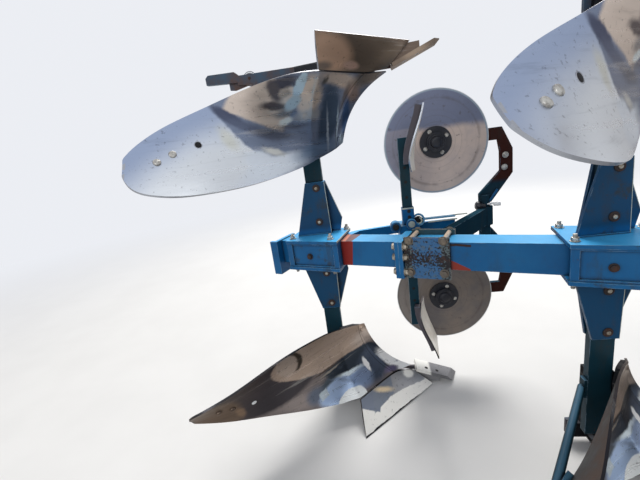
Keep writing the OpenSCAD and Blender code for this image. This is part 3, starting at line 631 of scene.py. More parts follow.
@dataclass(frozen=True)
class Zone:
    """A patch of colour on a body's face; on the sheets and shares most are painted reflections, painted
    highlights and painted shade, some are stains.

    Args:
        x: Its centre along the travel, from the share point's tip.
        q: Its centre away from the beam's centreline.
        length: Half its length.
        width: Half its width.
        turn: Degrees from the travel to its length.
        colour: What shows in it.
        soft: Share of its size over which it fades.
        strength: How much of the ground it hides.
        straight: Whether it is a rectangle, not an ellipse.
    """

    x: float
    q: float
    length: float
    width: float
    turn: float
    colour: Colour
    soft: float = 0.35
    strength: float = 1.0
    straight: bool = False


@dataclass(frozen=True)
class BodySteel:
    """Steel that the soil has scoured: zones of colour, flow streaks, scratches and pits; on the sheets and
    shares the zones are mostly painted reflections, highlights and shade.

    Args:
        name: Name of the finish.
        upper: Ground colour of the upper face.
        upper_zones: Patches on the upper face; on the sheets and shares mostly painted reflections,
            highlights and shade.
        lower: Ground colour of the lower face.
        lower_zones: Patches on the lower face; on the sheets and shares mostly painted reflections,
            highlights and shade.
        middle: Middle of the pieces along the travel, from the share point's tip.
        rough: Lowest and highest roughness.
        warp: How far the patches' outlines wander.
        seams: Whether the joints between the sheets show as dark lines.
    """

    name: str
    upper: Colour
    upper_zones: tuple[Zone, ...]
    lower: Colour
    lower_zones: tuple[Zone, ...]
    middle: float = -0.70
    rough: Spot = (0.22, 0.34)
    warp: float = 0.022
    seams: bool = True
    FLOW: ClassVar[float] = math.radians(16)
    STAIN: ClassVar[Colour] = (0.030, 0.027, 0.026)
    PALE: ClassVar[Colour] = (0.70, 0.68, 0.64)
    GRAZING: ClassVar[Colour] = (0.50, 0.46, 0.43)
    SHARE_SEAM: ClassVar[Spot] = (-0.236, 0.7405, -0.035)
    SHIN_SEAM: ClassVar[Spot] = (-0.163, 0.461, 0.329)

    def patches(self, sheet: Sheet, place: Socket, ground: Colour, zones: Sequence[Zone]) -> object:
        """Returns the ground colour with the zones over it.

        Args:
            sheet: The material's sheet.
            place: Place on the body's side view.
            ground: Colour under them.
            zones: The patches, from the lowest to the topmost.

        Returns:
            The colour.
        """
        colour: object = ground
        for zone in zones:
            turn = (0.0, 0.0, math.radians(zone.turn))
            local = sheet.add("ShaderNodeMapping", {"Vector": place}, vector_type="TEXTURE")
            for name, value in (("Location", (zone.x, zone.q, 0.0)), ("Rotation", turn),
                                ("Scale", (zone.length, zone.width, 1.0))):
                local.inputs[name].default_value = value
            distance = sheet.distance(local.outputs[0], (0, 0, 0))
            if zone.straight:
                sides = sheet.axes(local.outputs[0])
                distance = sheet.calc("MAXIMUM", *(sheet.calc("ABSOLUTE", side) for side in sides[:2]))
            shows = sheet.step(distance, 1 - zone.soft, 1 + zone.soft, zone.strength, 0.0)
            colour = sheet.blend(shows, colour, zone.colour)
        return colour

    def seam(self, sheet: Sheet, plane: Socket, x: Socket, q: Socket) -> Socket:
        """Returns 1 along the joints of shin, mouldboard and share.

        Args:
            sheet: The material's sheet.
            plane: Place on the body's side view.
            x: Place along the travel, from the share point's tip.
            q: Distance from the beam's centreline.

        Returns:
            1 on a joint, 0 elsewhere.
        """
        start, level, drop = self.SHARE_SEAM
        line = sheet.minus(q, sheet.times(sheet.minus(x, start), drop))
        share = sheet.times(sheet.inside(line, level - 0.0022, level + 0.0030, 0.0008),
                           sheet.step(x, -0.31, -0.29, 1.0, 0.0))
        x_centre, q_centre, radius = self.SHIN_SEAM
        arc = sheet.distance(plane, (x_centre, q_centre, 0.0))
        shin = sheet.times(sheet.inside(arc, radius - 0.0010, radius + 0.0010, 0.0008),
                          sheet.step(q, 0.741, 0.745, 0.7, 0.0))
        return sheet.calc("MAXIMUM", share, shin)

    def build(self, layout: Layout) -> Material:
        """Builds the material.

        Args:
            layout: Where the bodies stand.

        Returns:
            The finished material.
        """
        sheet = Sheet(self.name)
        xyz = sheet.axes(sheet.mapped(layout.body(0, 0, 0, layout.height)))
        # Every body shows the same zones, so the place is counted from the body's own point
        number = sheet.calc("ROUND", sheet.calc("DIVIDE", sheet.minus(xyz[0], self.middle), layout.pitch))
        x = sheet.minus(xyz[0], sheet.times(number, layout.pitch))
        away = sheet.calc("ABSOLUTE", xyz[2])
        wander = [sheet.plus(sheet.times(sheet.minus(sheet.noise(scale, 5, 0.5), 0.5), self.warp),
                             sheet.times(sheet.minus(sheet.noise(scale * 6, 4, 0.6), 0.5), self.warp * 0.5))
                  for scale in (7.0, 8.3)]
        side_view = sheet.joined(sheet.plus(x, wander[0]), sheet.plus(away, wander[1]))
        plane = sheet.joined(x, away)
        upper = self.patches(sheet, side_view, self.upper, self.upper_zones)
        lower = self.patches(sheet, side_view, self.lower, self.lower_zones)
        colour = sheet.blend(sheet.step(xyz[2], -0.001, 0.001), lower, upper)
        flow = sheet.stretched(plane, self.FLOW, (0.10, 1.0, 1.0))
        streaks = sheet.noise(34, 6, 0.65, flow)
        colour = sheet.blend(sheet.step(streaks, 0.56, 0.80, 0.0, 0.30), colour, self.STAIN)
        colour = sheet.blend(sheet.step(streaks, 0.44, 0.28, 0.0, 0.22), colour, self.PALE)
        stains = sheet.step(sheet.noise(70, 4, 0.65), 0.61, 0.67)
        colour = sheet.blend(sheet.times(stains, 0.35), colour, self.STAIN)
        if self.seams:
            colour = sheet.blend(self.seam(sheet, plane, x, away), colour, self.STAIN)
        fine = sheet.noise(520, 2, 0.5, flow)
        pits = sheet.step(sheet.cells(85), 0.03, 0.12)
        sheet.bump(sheet.plus(sheet.times(fine, 0.35), sheet.times(pits, 0.6)), 0.00010)
        rough = sheet.plus(sheet.step(streaks, 0.3, 0.7, *self.rough), sheet.times(fine, 0.06))
        # The palest colours, mostly painted highlights and reflections, are made less metallic so that they
        # show pale
        light = sheet.add("ShaderNodeRGBToBW", {0: colour})
        sheet.shader.inputs["Specular Tint"].default_value = (*self.GRAZING, 1.0)
        return sheet.finish(colour, rough, sheet.step(light.outputs[0], 0.60, 0.92, 0.88, 0.35))


# Shapes


class Body(Enum):
    """The frame's bodies that carry pieces of this script."""

    HEADSTOCK = "headstock"
    PLOUGH = "plough_frame"
    WHEEL = "depth_wheel"
    DISC_UPPER = "coulter_upper"
    DISC_LOWER = "coulter_lower"
    STAND = "stand"
    BARREL = "turnover_barrel"


def facing(point: Vector, way: Sequence[float], turn: float = 0.0) -> Matrix:
    """Returns a place at a point, with its Z along the way and turned about it."""
    look = Vector(way).to_track_quat("Z", "Y").to_matrix().to_4x4()
    return Matrix.Translation(point) @ look @ Matrix.Rotation(turn, 4, "Z")


def spokes(count: int, start: float = 0.0) -> list[float]:
    """Returns the angles of equally spaced spokes, from the first one on."""
    return [start + number * math.tau / count for number in range(count)]


class Solid:
    """A mesh in the making, to which shapes are added one by one."""

    def __init__(self) -> None:
        """Starts an empty mesh."""
        self.bm = bmesh.new()

    def soften(self, edges: Sequence[bmesh.types.BMEdge], width: float) -> None:
        """Rounds edges by a small bevel."""
        bmesh.ops.bevel(self.bm, geom=edges, offset=width, segments=2, affect="EDGES", profile=0.5,
                        material=-1)

    def cone(self, place: Matrix, low: float, high: float, height: float, sides: int = 28,
             bevel: float = 0.0) -> None:
        """Adds a cylinder, cone or prism.

        Args:
            place: Middle of its foot, with Z along its axis.
            low: Radius at the foot.
            high: Radius at the other end.
            height: Its length.
            sides: Number of its sides.
            bevel: Width of the chamfer round both ends.
        """
        lifted = place @ Matrix.Translation((0, 0, height / 2))
        made = bmesh.ops.create_cone(self.bm, cap_ends=True, segments=sides, radius1=low, radius2=high,
                                     depth=height, matrix=lifted)
        if bevel:
            caps = [f for f in {f for v in made["verts"] for f in v.link_faces} if len(f.verts) == sides]
            rims = list({e for f in caps for e in f.edges})
            self.soften(rims, bevel)

    def box(self, place: Matrix, size: Sequence[float], bevel: float = 0.001) -> None:
        """Adds a block with softened edges, centred on the place.

        Args:
            place: Its middle.
            size: Its length, width and height.
            bevel: Width of the softening.
        """
        made = bmesh.ops.create_cube(self.bm, size=1.0, matrix=place @ Matrix.Diagonal((*size, 1.0)))
        self.soften(list({e for v in made["verts"] for e in v.link_edges}), bevel)

    def lathe(self, place: Matrix, outline: Spots, sides: int = 36, closed: bool = False) -> None:
        """Adds a turned shape from an outline of radii and heights.

        Args:
            place: Middle of its foot, with Z along its axis.
            outline: Radius and height of each point.
            sides: Number of its sides.
            closed: Whether the outline runs back to its start, as a ring's does.
        """
        verts = [self.bm.verts.new((radius, 0.0, height)) for radius, height in outline]
        edges = [self.bm.edges.new(pair) for pair in zip(verts, verts[1:])]
        if closed:
            edges.append(self.bm.edges.new((verts[-1], verts[0])))
        known = set(self.bm.verts) - set(verts)
        bmesh.ops.spin(self.bm, geom=verts + edges, cent=(0, 0, 0), axis=(0, 0, 1), angle=math.tau,
                       steps=sides, use_merge=True)
        made = [v for v in self.bm.verts if v not in known]
        bmesh.ops.remove_doubles(self.bm, verts=made, dist=1e-6)
        made = [v for v in self.bm.verts if v not in known]
        bmesh.ops.recalc_face_normals(self.bm, faces=list({f for v in made for f in v.link_faces}))
        bmesh.ops.transform(self.bm, matrix=place, verts=made)

    def ring(self, place: Matrix, radius: float, thick: float) -> None:
        """Adds a round ring about the place's Z, from the radii of its middle line and of its wire."""
        outline = [(radius + thick * math.cos(a), thick * math.sin(a)) for a in spokes(12)]
        self.lathe(place, outline, closed=True)

    def bar(self, path: Sequence[Vector], radius: float, sides: int = 12, ripple: float = 0.0) -> None:
        """Adds a round bar along a path.

        Args:
            path: Points that its middle follows.
            radius: Its radius.
            sides: Number of its sides.
            ripple: How much its radius swells and shrinks from point to point, as on a weld.
        """
        rings = []
        for number, point in enumerate(path):
            before, after = path[max(number - 1, 0)], path[min(number + 1, len(path) - 1)]
            look = (after - before).to_track_quat("Z", "Y")
            size = radius * (1 + ripple * (number % 2))
            arms = [look @ Vector((math.cos(a), math.sin(a), 0)) for a in spokes(sides)]
            rings.append([self.bm.verts.new(point + size * arm) for arm in arms])
        for low, high in zip(rings, rings[1:]):
            for n in range(sides):
                m = (n + 1) % sides
                self.bm.faces.new((low[n], low[m], high[m], high[n]))
        self.bm.faces.new(list(reversed(rings[0])))
        self.bm.faces.new(rings[-1])

    def piece(self, name: str, body: Body, material: Material,
              smooth: float = 32.0) -> bpy.types.Object:
        """Turns the mesh into a piece of the plough.

        Args:
            name: Name of the piece.
            body: The body that it rides on.
            material: Its finish.
            smooth: Edges sharper than this many degrees stay sharp.

        Returns:
            The new object.
        """
        mesh = bpy.data.meshes.new(name)
        self.bm.to_mesh(mesh)
        self.bm.free()
        mesh.shade_smooth()
        mesh.set_sharp_from_angle(angle=math.radians(smooth))
        mesh.materials.append(material)
        piece = bpy.data.objects.new(name, mesh)
        bpy.context.scene.collection.objects.link(piece)
        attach(piece, body.value)
        LOG.info("%s: %d faces on %s", name, len(mesh.polygons), body.value)
        return piece


@dataclass(frozen=True)
class Bolt:
    """A hexagon bolt in common proportions.

    Args:
        thread: Diameter of its thread.
    """

    thread: float
    FLUSH: ClassVar[Spots] = ((1.10, -0.0006), (1.06, 0.0005), (1.00, 0.0002), (0.97, 0.0008), (0.5, 0.0013),
                              (0.0, 0.0014))

    def washer(self, solid: Solid, place: Matrix) -> Matrix:
        """Adds a washer and returns the place on top of it."""
        solid.cone(place, 1.08 * self.thread, 1.08 * self.thread, 0.17 * self.thread, 32, 0.034 * self.thread)
        return place @ Matrix.Translation((0, 0, 0.17 * self.thread))

    def head(self, solid: Solid, place: Matrix) -> None:
        """Adds a washer and a chamfered head on it.

        Args:
            solid: Mesh that they join.
            place: Middle of the bolt on the face, with Z out of it.
        """
        seat = self.washer(solid, place)
        solid.cone(seat, 0.87 * self.thread, 0.87 * self.thread, 0.62 * self.thread, 6, 0.07 * self.thread)
        top = seat @ Matrix.Translation((0, 0, 0.62 * self.thread - 0.0004))
        solid.cone(top, 0.68 * self.thread, 0.60 * self.thread, 0.05 * self.thread, 28)

    def stud(self, solid: Solid, place: Matrix, length: float) -> None:
        """Adds the ridged end of a thread.

        Args:
            solid: Mesh that it joins.
            place: Middle of its foot.
            length: Its length.
        """
        pitch = 0.13 * self.thread
        radius = 0.5 * self.thread
        outline = [(radius * 0.99, 0.0)]
        for number in range(int(length / pitch)):
            outline += [(radius, (number + 0.4) * pitch), (radius * 0.88, (number + 0.9) * pitch)]
        end = outline[-1][1]
        outline += [(radius * 0.8, end + 0.3 * pitch), (0.0, end + 0.3 * pitch)]
        solid.lathe(place, outline, 20)

    def nut(self, solid: Solid, place: Matrix, over: float = 0.35) -> None:
        """Adds a washer, a nut and the thread's end standing out of it.

        Args:
            solid: Mesh that they join.
            place: Middle of the bolt on the face, with Z out of it.
            over: Share of the thread's diameter that stands out.
        """
        seat = self.washer(solid, place)
        height = 0.82 * self.thread
        solid.cone(seat, 0.87 * self.thread, 0.87 * self.thread, height, 6, 0.07 * self.thread)
        self.stud(solid, seat @ Matrix.Translation((0, 0, height - 0.0005)), over * self.thread)

    def flush(self, solid: Solid, place: Matrix) -> None:
        """Adds the round head of a plough bolt, let into the sheet: a fine groove round a low crown."""
        solid.lathe(place, [(0.95 * self.thread * share, height) for share, height in self.FLUSH], 36)


# Camera, light and floor


@dataclass(frozen=True)
class Studio:
    """Camera at the photograph's place, pale floor and soft light.

    Args:
        layout: Where the plough stands.
        place: Camera's place from the rear share point's tip.
        heading: Camera's turn about Z, in degrees.
        pitch: How far it looks down, in degrees.
        roll: How far it leans to its right, in degrees.
        focal: Focal length in pixels of the picture.
        sensor: Width of the film, in millimetres.
        picture_width: Width of the picture in pixels.
        light: Strength of the surroundings as light.
        shown: Strength of the surroundings where they are seen.
    """

    layout: Layout
    place: Vector = field(default_factory=lambda: Vector((-0.378, -1.792, 1.331)))
    heading: float = 8.34
    pitch: float = 14.69
    roll: float = 8.144
    focal: float = 361.0
    sensor: float = 36.0
    picture_width: float = 640.0
    light: float = 0.45
    shown: float = 0.90
    PALE: ClassVar[Colour] = (0.93, 0.95, 1.0)

    def camera(self) -> None:
        """Makes the scene's camera."""
        a, p, r = (math.radians(v) for v in (self.heading, self.pitch, self.roll))
        ahead = Vector((-math.sin(a), math.cos(a), 0.0))
        right = Vector((math.cos(a), math.sin(a), 0.0))
        look = math.cos(p) * ahead - math.sin(p) * Vector((0, 0, 1))
        down = -math.sin(p) * ahead - math.cos(p) * Vector((0, 0, 1))
        x = math.cos(r) * right + math.sin(r) * down
        y = math.sin(r) * right - math.cos(r) * down
        data = bpy.data.cameras.new("camera")
        data.sensor_width = self.sensor
        data.lens = self.focal / self.picture_width * self.sensor
        data.clip_start, data.clip_end = 0.02, 100.0
        camera = bpy.data.objects.new("camera", data)
        turned = Matrix((x, y, -look)).transposed().to_4x4()
        camera.matrix_world = Matrix.Translation(self.layout.rear + self.place) @ turned
        bpy.context.scene.collection.objects.link(camera)
        bpy.context.scene.camera = camera

    def lamp(self, name: str, place: Vector, size: float, power: float, colour: Colour) -> None:
        """Makes one soft lamp that looks at the plough's middle.

        Args:
            name: Its name.
            place: Where it hangs.
            size: Length of its sides.
            power: Its strength in watts.
            colour: Colour of its light.
        """
        data = bpy.data.lights.new(name, "AREA")
        data.size, data.energy, data.color = size, power, colour
        lamp = bpy.data.objects.new(name, data)
        lamp.location = place
        lamp.rotation_euler = (Vector((0, 0, 0.7)) - place).to_track_quat("-Z", "Y").to_euler()
        bpy.context.scene.collection.objects.link(lamp)

    def floor(self) -> None:
        """Makes the floor."""
        bm = bmesh.new()
        bmesh.ops.create_circle(bm, cap_ends=True, segments=96, radius=40.0)
        mesh = bpy.data.meshes.new("floor")
        bm.to_mesh(mesh)
        bm.free()
        floor = bpy.data.objects.new("floor", mesh)
        sheet = Sheet("pale_floor")
        grain = sheet.noise(2.0, 3)
        colour = sheet.blend(sheet.step(grain, 0.3, 0.7), (0.77, 0.765, 0.75), (0.80, 0.795, 0.78))
        material = sheet.finish(colour, 0.85)
        # Far from the plough the floor runs into the pale surroundings
        glow = sheet.add("ShaderNodeEmission", {"Color": self.PALE, "Strength": self.shown})
        length = sheet.add("ShaderNodeVectorMath", {0: sheet.place}, operation="LENGTH")
        far = sheet.times(sheet.step(length.outputs["Value"], 3.2, 9.0), self.seen(sheet.tree))
        mixer = sheet.add("ShaderNodeMixShader", {0: far, 1: sheet.shader.outputs[0], 2: glow.outputs[0]})
        sheet.put(mixer.outputs[0], sheet.tree.nodes["Material Output"].inputs["Surface"])
        mesh.materials.append(material)
        bpy.context.scene.collection.objects.link(floor)

    @staticmethod
    def seen(tree: bpy.types.NodeTree) -> Socket:
        """Returns 1 for what the camera, a mirror or clear glass sees, and 0 for what lights a surface.

        Args:
            tree: The node tree that asks.

        Returns:
            1 or 0.
        """
        path = tree.nodes.new("ShaderNodeLightPath")
        shown = path.outputs["Is Camera Ray"]
        for name in ("Is Glossy Ray", "Is Transmission Ray"):
            either = tree.nodes.new("ShaderNodeMath")
            either.operation = "MAXIMUM"
            tree.links.new(shown, either.inputs[0])
            tree.links.new(path.outputs[name], either.inputs[1])
            shown = either.outputs[0]
        return shown

    def world(self) -> None:
        """Makes the pale surroundings: white to the camera and in reflections, softer as light."""
        world = bpy.data.worlds.new("surroundings")
        world.use_nodes = True
        tree = world.node_tree
        background = tree.nodes["Background"]
        strength = tree.nodes.new("ShaderNodeMapRange")
        strength.inputs["To Min"].default_value = self.light
        strength.inputs["To Max"].default_value = self.shown
        tree.links.new(self.seen(tree), strength.inputs["Value"])
        tree.links.new(strength.outputs[0], background.inputs["Strength"])
        background.inputs["Color"].default_value = (*self.PALE, 1.0)
        bpy.context.scene.world = world

    def build(self) -> None:
        """Makes camera, floor, surroundings and lamps."""
        self.camera()
        self.floor()
        self.world()
        self.lamp("key", Vector((0.6, 6.2, 8.0)), 4.5, 900.0, (1.0, 0.98, 0.95))
        self.lamp("fill", Vector((-3.2, -6.2, 4.2)), 4.0, 150.0, (0.97, 0.98, 1.0))
        bpy.context.scene.view_settings.view_transform = "Standard"


# Finishes


class Look(Enum):
    """Every finish on the plough."""

    BEAM = "beam_blue"
    BLUE = "blue_paint"
    CONSOLE = "console_blue"
    SUNNY = "sunny_blue"
    LEG = "leg_teal"
    ARM = "arm_teal"
    CLAMP = "clamp_paint"
    FROG = "frog_iron"
    LANDSIDE = "landside_paint"
    BACK = "sheet_back"
    CUT_EDGE = "cut_edge"
    SKIMMER = "skimmer_steel"
    STEM = "skimmer_stem"
    POINT = "point_steel"
    DISC_UPPER = "disc_steel_upper"
    DISC_LOWER = "disc_steel_lower"
    BLACK = "hub_black"
    ZINC = "plated_bolts"
    BRIGHT = "bright_bolts"
    WORN_BOLT = "worn_bolts"
    PALE = "pale_steel"
    RUSTY = "rusty_bolts"
    MACHINED = "machined_steel"
    CHROME = "rod_chrome"
    CYLINDER = "cylinder_black"
    RUBBER = "tyre_rubber"
    CREAM = "bare_cream"
    # Flat dark discs that stand for holes: painted shade
    HOLE = "open_hole"
    SHEET = "sheet_steel"
    SHARE = "share_steel"


# Colours and patches of the sheets and shares: mostly painted reflections of the surroundings (beige ground,
# slate and navy walls, cyan and misty sky) and painted highlights and glints (snow, cream, the orange streak
# on the lower share), with dark patches of painted shade and stains
BEIGE: Colour = (0.68, 0.58, 0.50)
SLATE: Colour = (0.20, 0.24, 0.33)
INK: Colour = (0.085, 0.085, 0.110)
NAVY: Colour = (0.055, 0.085, 0.135)
CYAN: Colour = (0.51, 0.65, 0.74)
MIST: Colour = (0.74, 0.80, 0.87)
SNOW: Colour = (0.95, 0.95, 0.94)
CREAM: Colour = (0.95, 0.93, 0.87)
UPPER_SHEET = (
    Zone(-0.900, 0.425, 0.250, 0.125, 28, (0.76, 0.80, 0.84), 0.60),
    Zone(-0.852, 0.540, 0.045, 0.016, -62, (0.64, 0.64, 0.55), 0.70, 0.7),
    Zone(0.083, 1.124, 1.080, 1.080, 0, SLATE, 0.005),
    Zone(-0.705, 0.418, 0.105, 0.040, 12, MIST, 0.30),
    Zone(-0.765, 0.448, 0.050, 0.030, -30, MIST, 0.35),
    Zone(-0.722, 0.474, 0.036, 0.012, -25, (0.66, 0.67, 0.64), 0.60),
    Zone(-0.729, 0.669, 0.100, 0.088, -29, BEIGE, 0.08, straight=True),
    Zone(-0.845, 0.617, 0.062, 0.017, -42, (0.085, 0.100, 0.155), 0.35),
    Zone(-0.775, 0.562, 0.078, 0.016, -32, (0.125, 0.150, 0.220), 0.60),
    Zone(-0.700, 0.535, 0.050, 0.016, -12, (0.110, 0.125, 0.170), 0.60),
    Zone(-0.563, 0.672, 0.080, 0.040, 58, (0.70, 0.575, 0.48), 0.30),
    Zone(-0.585, 0.598, 0.050, 0.020, 12, (0.45, 0.44, 0.43), 0.60, 0.8),
    Zone(-0.640, 0.560, 0.060, 0.010, 5, (0.14, 0.15, 0.19), 0.60, 0.8),
    Zone(-0.652, 0.722, 0.056, 0.021, 15, INK, 0.40),
    Zone(-0.683, 0.690, 0.021, 0.040, 0, (0.12, 0.11, 0.12), 0.50),
    Zone(-0.700, 0.640, 0.043, 0.015, -6, (0.12, 0.105, 0.11), 0.45),
    Zone(-0.665, 0.612, 0.036, 0.017, 20, (0.17, 0.18, 0.20), 0.60, 0.8),
    Zone(-0.652, 0.684, 0.022, 0.013, 25, (0.42, 0.36, 0.31), 0.40),
    Zone(-0.590, 0.713, 0.054, 0.017, 52, CYAN, 0.20),
    Zone(-0.632, 0.648, 0.040, 0.018, 42, (0.45, 0.54, 0.58), 0.30),
    Zone(-0.668, 0.580, 0.027, 0.012, 20, (0.68, 0.73, 0.72), 0.40),
    Zone(-0.505, 0.585, 0.125, 0.038, 73, NAVY, 0.30),
    Zone(-0.570, 0.455, 0.080, 0.034, 15, (0.13, 0.20, 0.31), 0.60, 0.85),
    Zone(-0.517, 0.530, 0.075, 0.0040, 84, (0.42, 0.49, 0.57), 0.80, 0.8),
    Zone(-0.478, 0.545, 0.070, 0.0035, 80, (0.42, 0.52, 0.60), 0.80, 0.8),
    Zone(-0.430, 0.722, 0.078, 0.026, -12, (0.68, 0.56, 0.47), 0.45),
    Zone(-0.490, 0.722, 0.020, 0.007, 50, (0.12, 0.11, 0.10), 0.60),
    Zone(-0.395, 0.675, 0.040, 0.030, 60, (0.45, 0.33, 0.28), 0.50),
    Zone(-0.310, 0.735, 0.072, 0.028, 20, (0.19, 0.16, 0.14), 0.50),
    Zone(-0.430, 0.660, 0.050, 0.011, 62, (0.10, 0.09, 0.09), 0.60, 0.8),
    Zone(-0.436, 0.580, 0.075, 0.016, 78, (0.062, 0.115, 0.235), 0.45),
    Zone(-0.465, 0.485, 0.024, 0.010, 80, (0.34, 0.43, 0.50), 0.50, 0.9))
LOWER_SHEET = (
    Zone(-0.800, 0.660, 0.110, 0.035, 15, (0.33, 0.285, 0.27), 0.60),
    Zone(-0.905, 0.490, 0.230, 0.145, 0, (0.066, 0.060, 0.067), 0.10),
    Zone(-1.150, 0.500, 0.172, 0.190, 0, (0.145, 0.108, 0.084), 0.10),
    Zone(-0.993, 0.560, 0.016, 0.036, 5, (0.26, 0.18, 0.125), 0.50, 0.8),
    Zone(-0.600, 0.440, 0.250, 0.142, 0, (0.44, 0.34, 0.275), 0.025),
    Zone(-0.470, 0.530, 0.060, 0.040, 10, (0.50, 0.42, 0.37), 0.60),
    Zone(-0.775, 0.423, 0.034, 0.062, 0, (0.055, 0.045, 0.036), 0.10),
    Zone(-0.795, 0.425, 0.035, 0.064, 0, (0.47, 0.38, 0.32), 0.12),
    Zone(-0.620, 0.632, 0.095, 0.032, -22, (0.085, 0.105, 0.130), 0.40),
    Zone(-0.715, 0.668, 0.034, 0.040, -20, (0.150, 0.175, 0.230), 0.50),
    Zone(-0.535, 0.604, 0.135, 0.042, 3, (0.042, 0.054, 0.072), 0.12),
    Zone(-0.645, 0.592, 0.042, 0.005, -12, (0.34, 0.31, 0.27), 0.50),
    Zone(-0.655, 0.577, 0.058, 0.005, -8, (0.09, 0.07, 0.06), 0.60),
    Zone(-0.430, 0.665, 0.085, 0.065, 30, (0.095, 0.120, 0.170), 0.30),
    Zone(-0.590, 0.696, 0.104, 0.058, -3, (0.46, 0.60, 0.84), 0.14),
    Zone(-0.640, 0.715, 0.050, 0.024, 10, (0.40, 0.53, 0.76), 0.60),
    Zone(-0.560, 0.672, 0.070, 0.006, 25, (0.34, 0.44, 0.62), 0.70),
    Zone(-0.545, 0.644, 0.062, 0.010, 8, (0.82, 0.93, 0.98), 0.50),
    Zone(-0.490, 0.690, 0.052, 0.030, 35, (0.31, 0.40, 0.58), 0.45),
    Zone(-0.678, 0.681, 0.016, 0.020, -25, (0.56, 0.64, 0.70), 0.20, straight=True),
    Zone(-0.550, 0.757, 0.072, 0.056, 0, (0.88, 0.91, 0.90), 0.04),
    Zone(-0.470, 0.655, 0.040, 0.009, 60, SNOW, 0.25),
    Zone(-0.403, 0.655, 0.030, 0.006, 50, (0.60, 0.66, 0.72), 0.40),
    Zone(-0.335, 0.690, 0.100, 0.028, 42, SNOW, 0.22),
    Zone(-0.260, 0.740, 0.050, 0.030, 20, SNOW, 0.22),
    Zone(-0.345, 0.728, 0.034, 0.011, 12, (0.20, 0.18, 0.30), 0.50))
UPPER_SHARE = (
    Zone(-0.300, 0.800, 0.130, 0.070, 0, (0.160, 0.124, 0.096), 0.40),
    Zone(-0.455, 0.800, 0.075, 0.050, 0, (0.60, 0.39, 0.27), 0.35),
    Zone(-0.385, 0.768, 0.030, 0.013, 0, (0.55, 0.37, 0.29), 0.40),
    Zone(-0.490, 0.765, 0.030, 0.012, 10, (0.22, 0.17, 0.14), 0.60))
LOWER_SHARE = (
    Zone(-0.300, 0.768, 0.130, 0.037, 4, (0.40, 0.40, 0.41), 0.06, straight=True),
    Zone(-0.455, 0.760, 0.055, 0.038, 26, (0.25, 0.28, 0.34), 0.05, straight=True),
    Zone(-0.400, 0.775, 0.050, 0.030, -8, (0.26, 0.29, 0.34), 0.08, straight=True),
    Zone(-0.396, 0.769, 0.046, 0.007, 21, (1.0, 0.80, 0.52), 0.60, 0.85),
    Zone(-0.258, 0.765, 0.030, 0.016, 20, CREAM, 0.30),
    Zone(-0.330, 0.8560, 0.300, 0.0090, 0, (0.02, 0.018, 0.018), 0.10, straight=True))
UPPER_POINT = (
    Zone(-0.110, 0.800, 0.050, 0.020, 15, (0.30, 0.23, 0.17), 0.60),)
UPPER_NOSE = (
    Zone(-0.160, 0.800, 0.130, 0.060, 15, (0.16, 0.12, 0.095), 0.15),)
LOWER_NOSE = (
    Zone(-0.160, 0.800, 0.130, 0.060, 15, (0.30, 0.30, 0.31), 0.15),)
LOWER_POINT = (
    Zone(-0.060, 0.800, 0.075, 0.080, 0, (0.24, 0.24, 0.25), 0.10, straight=True),)

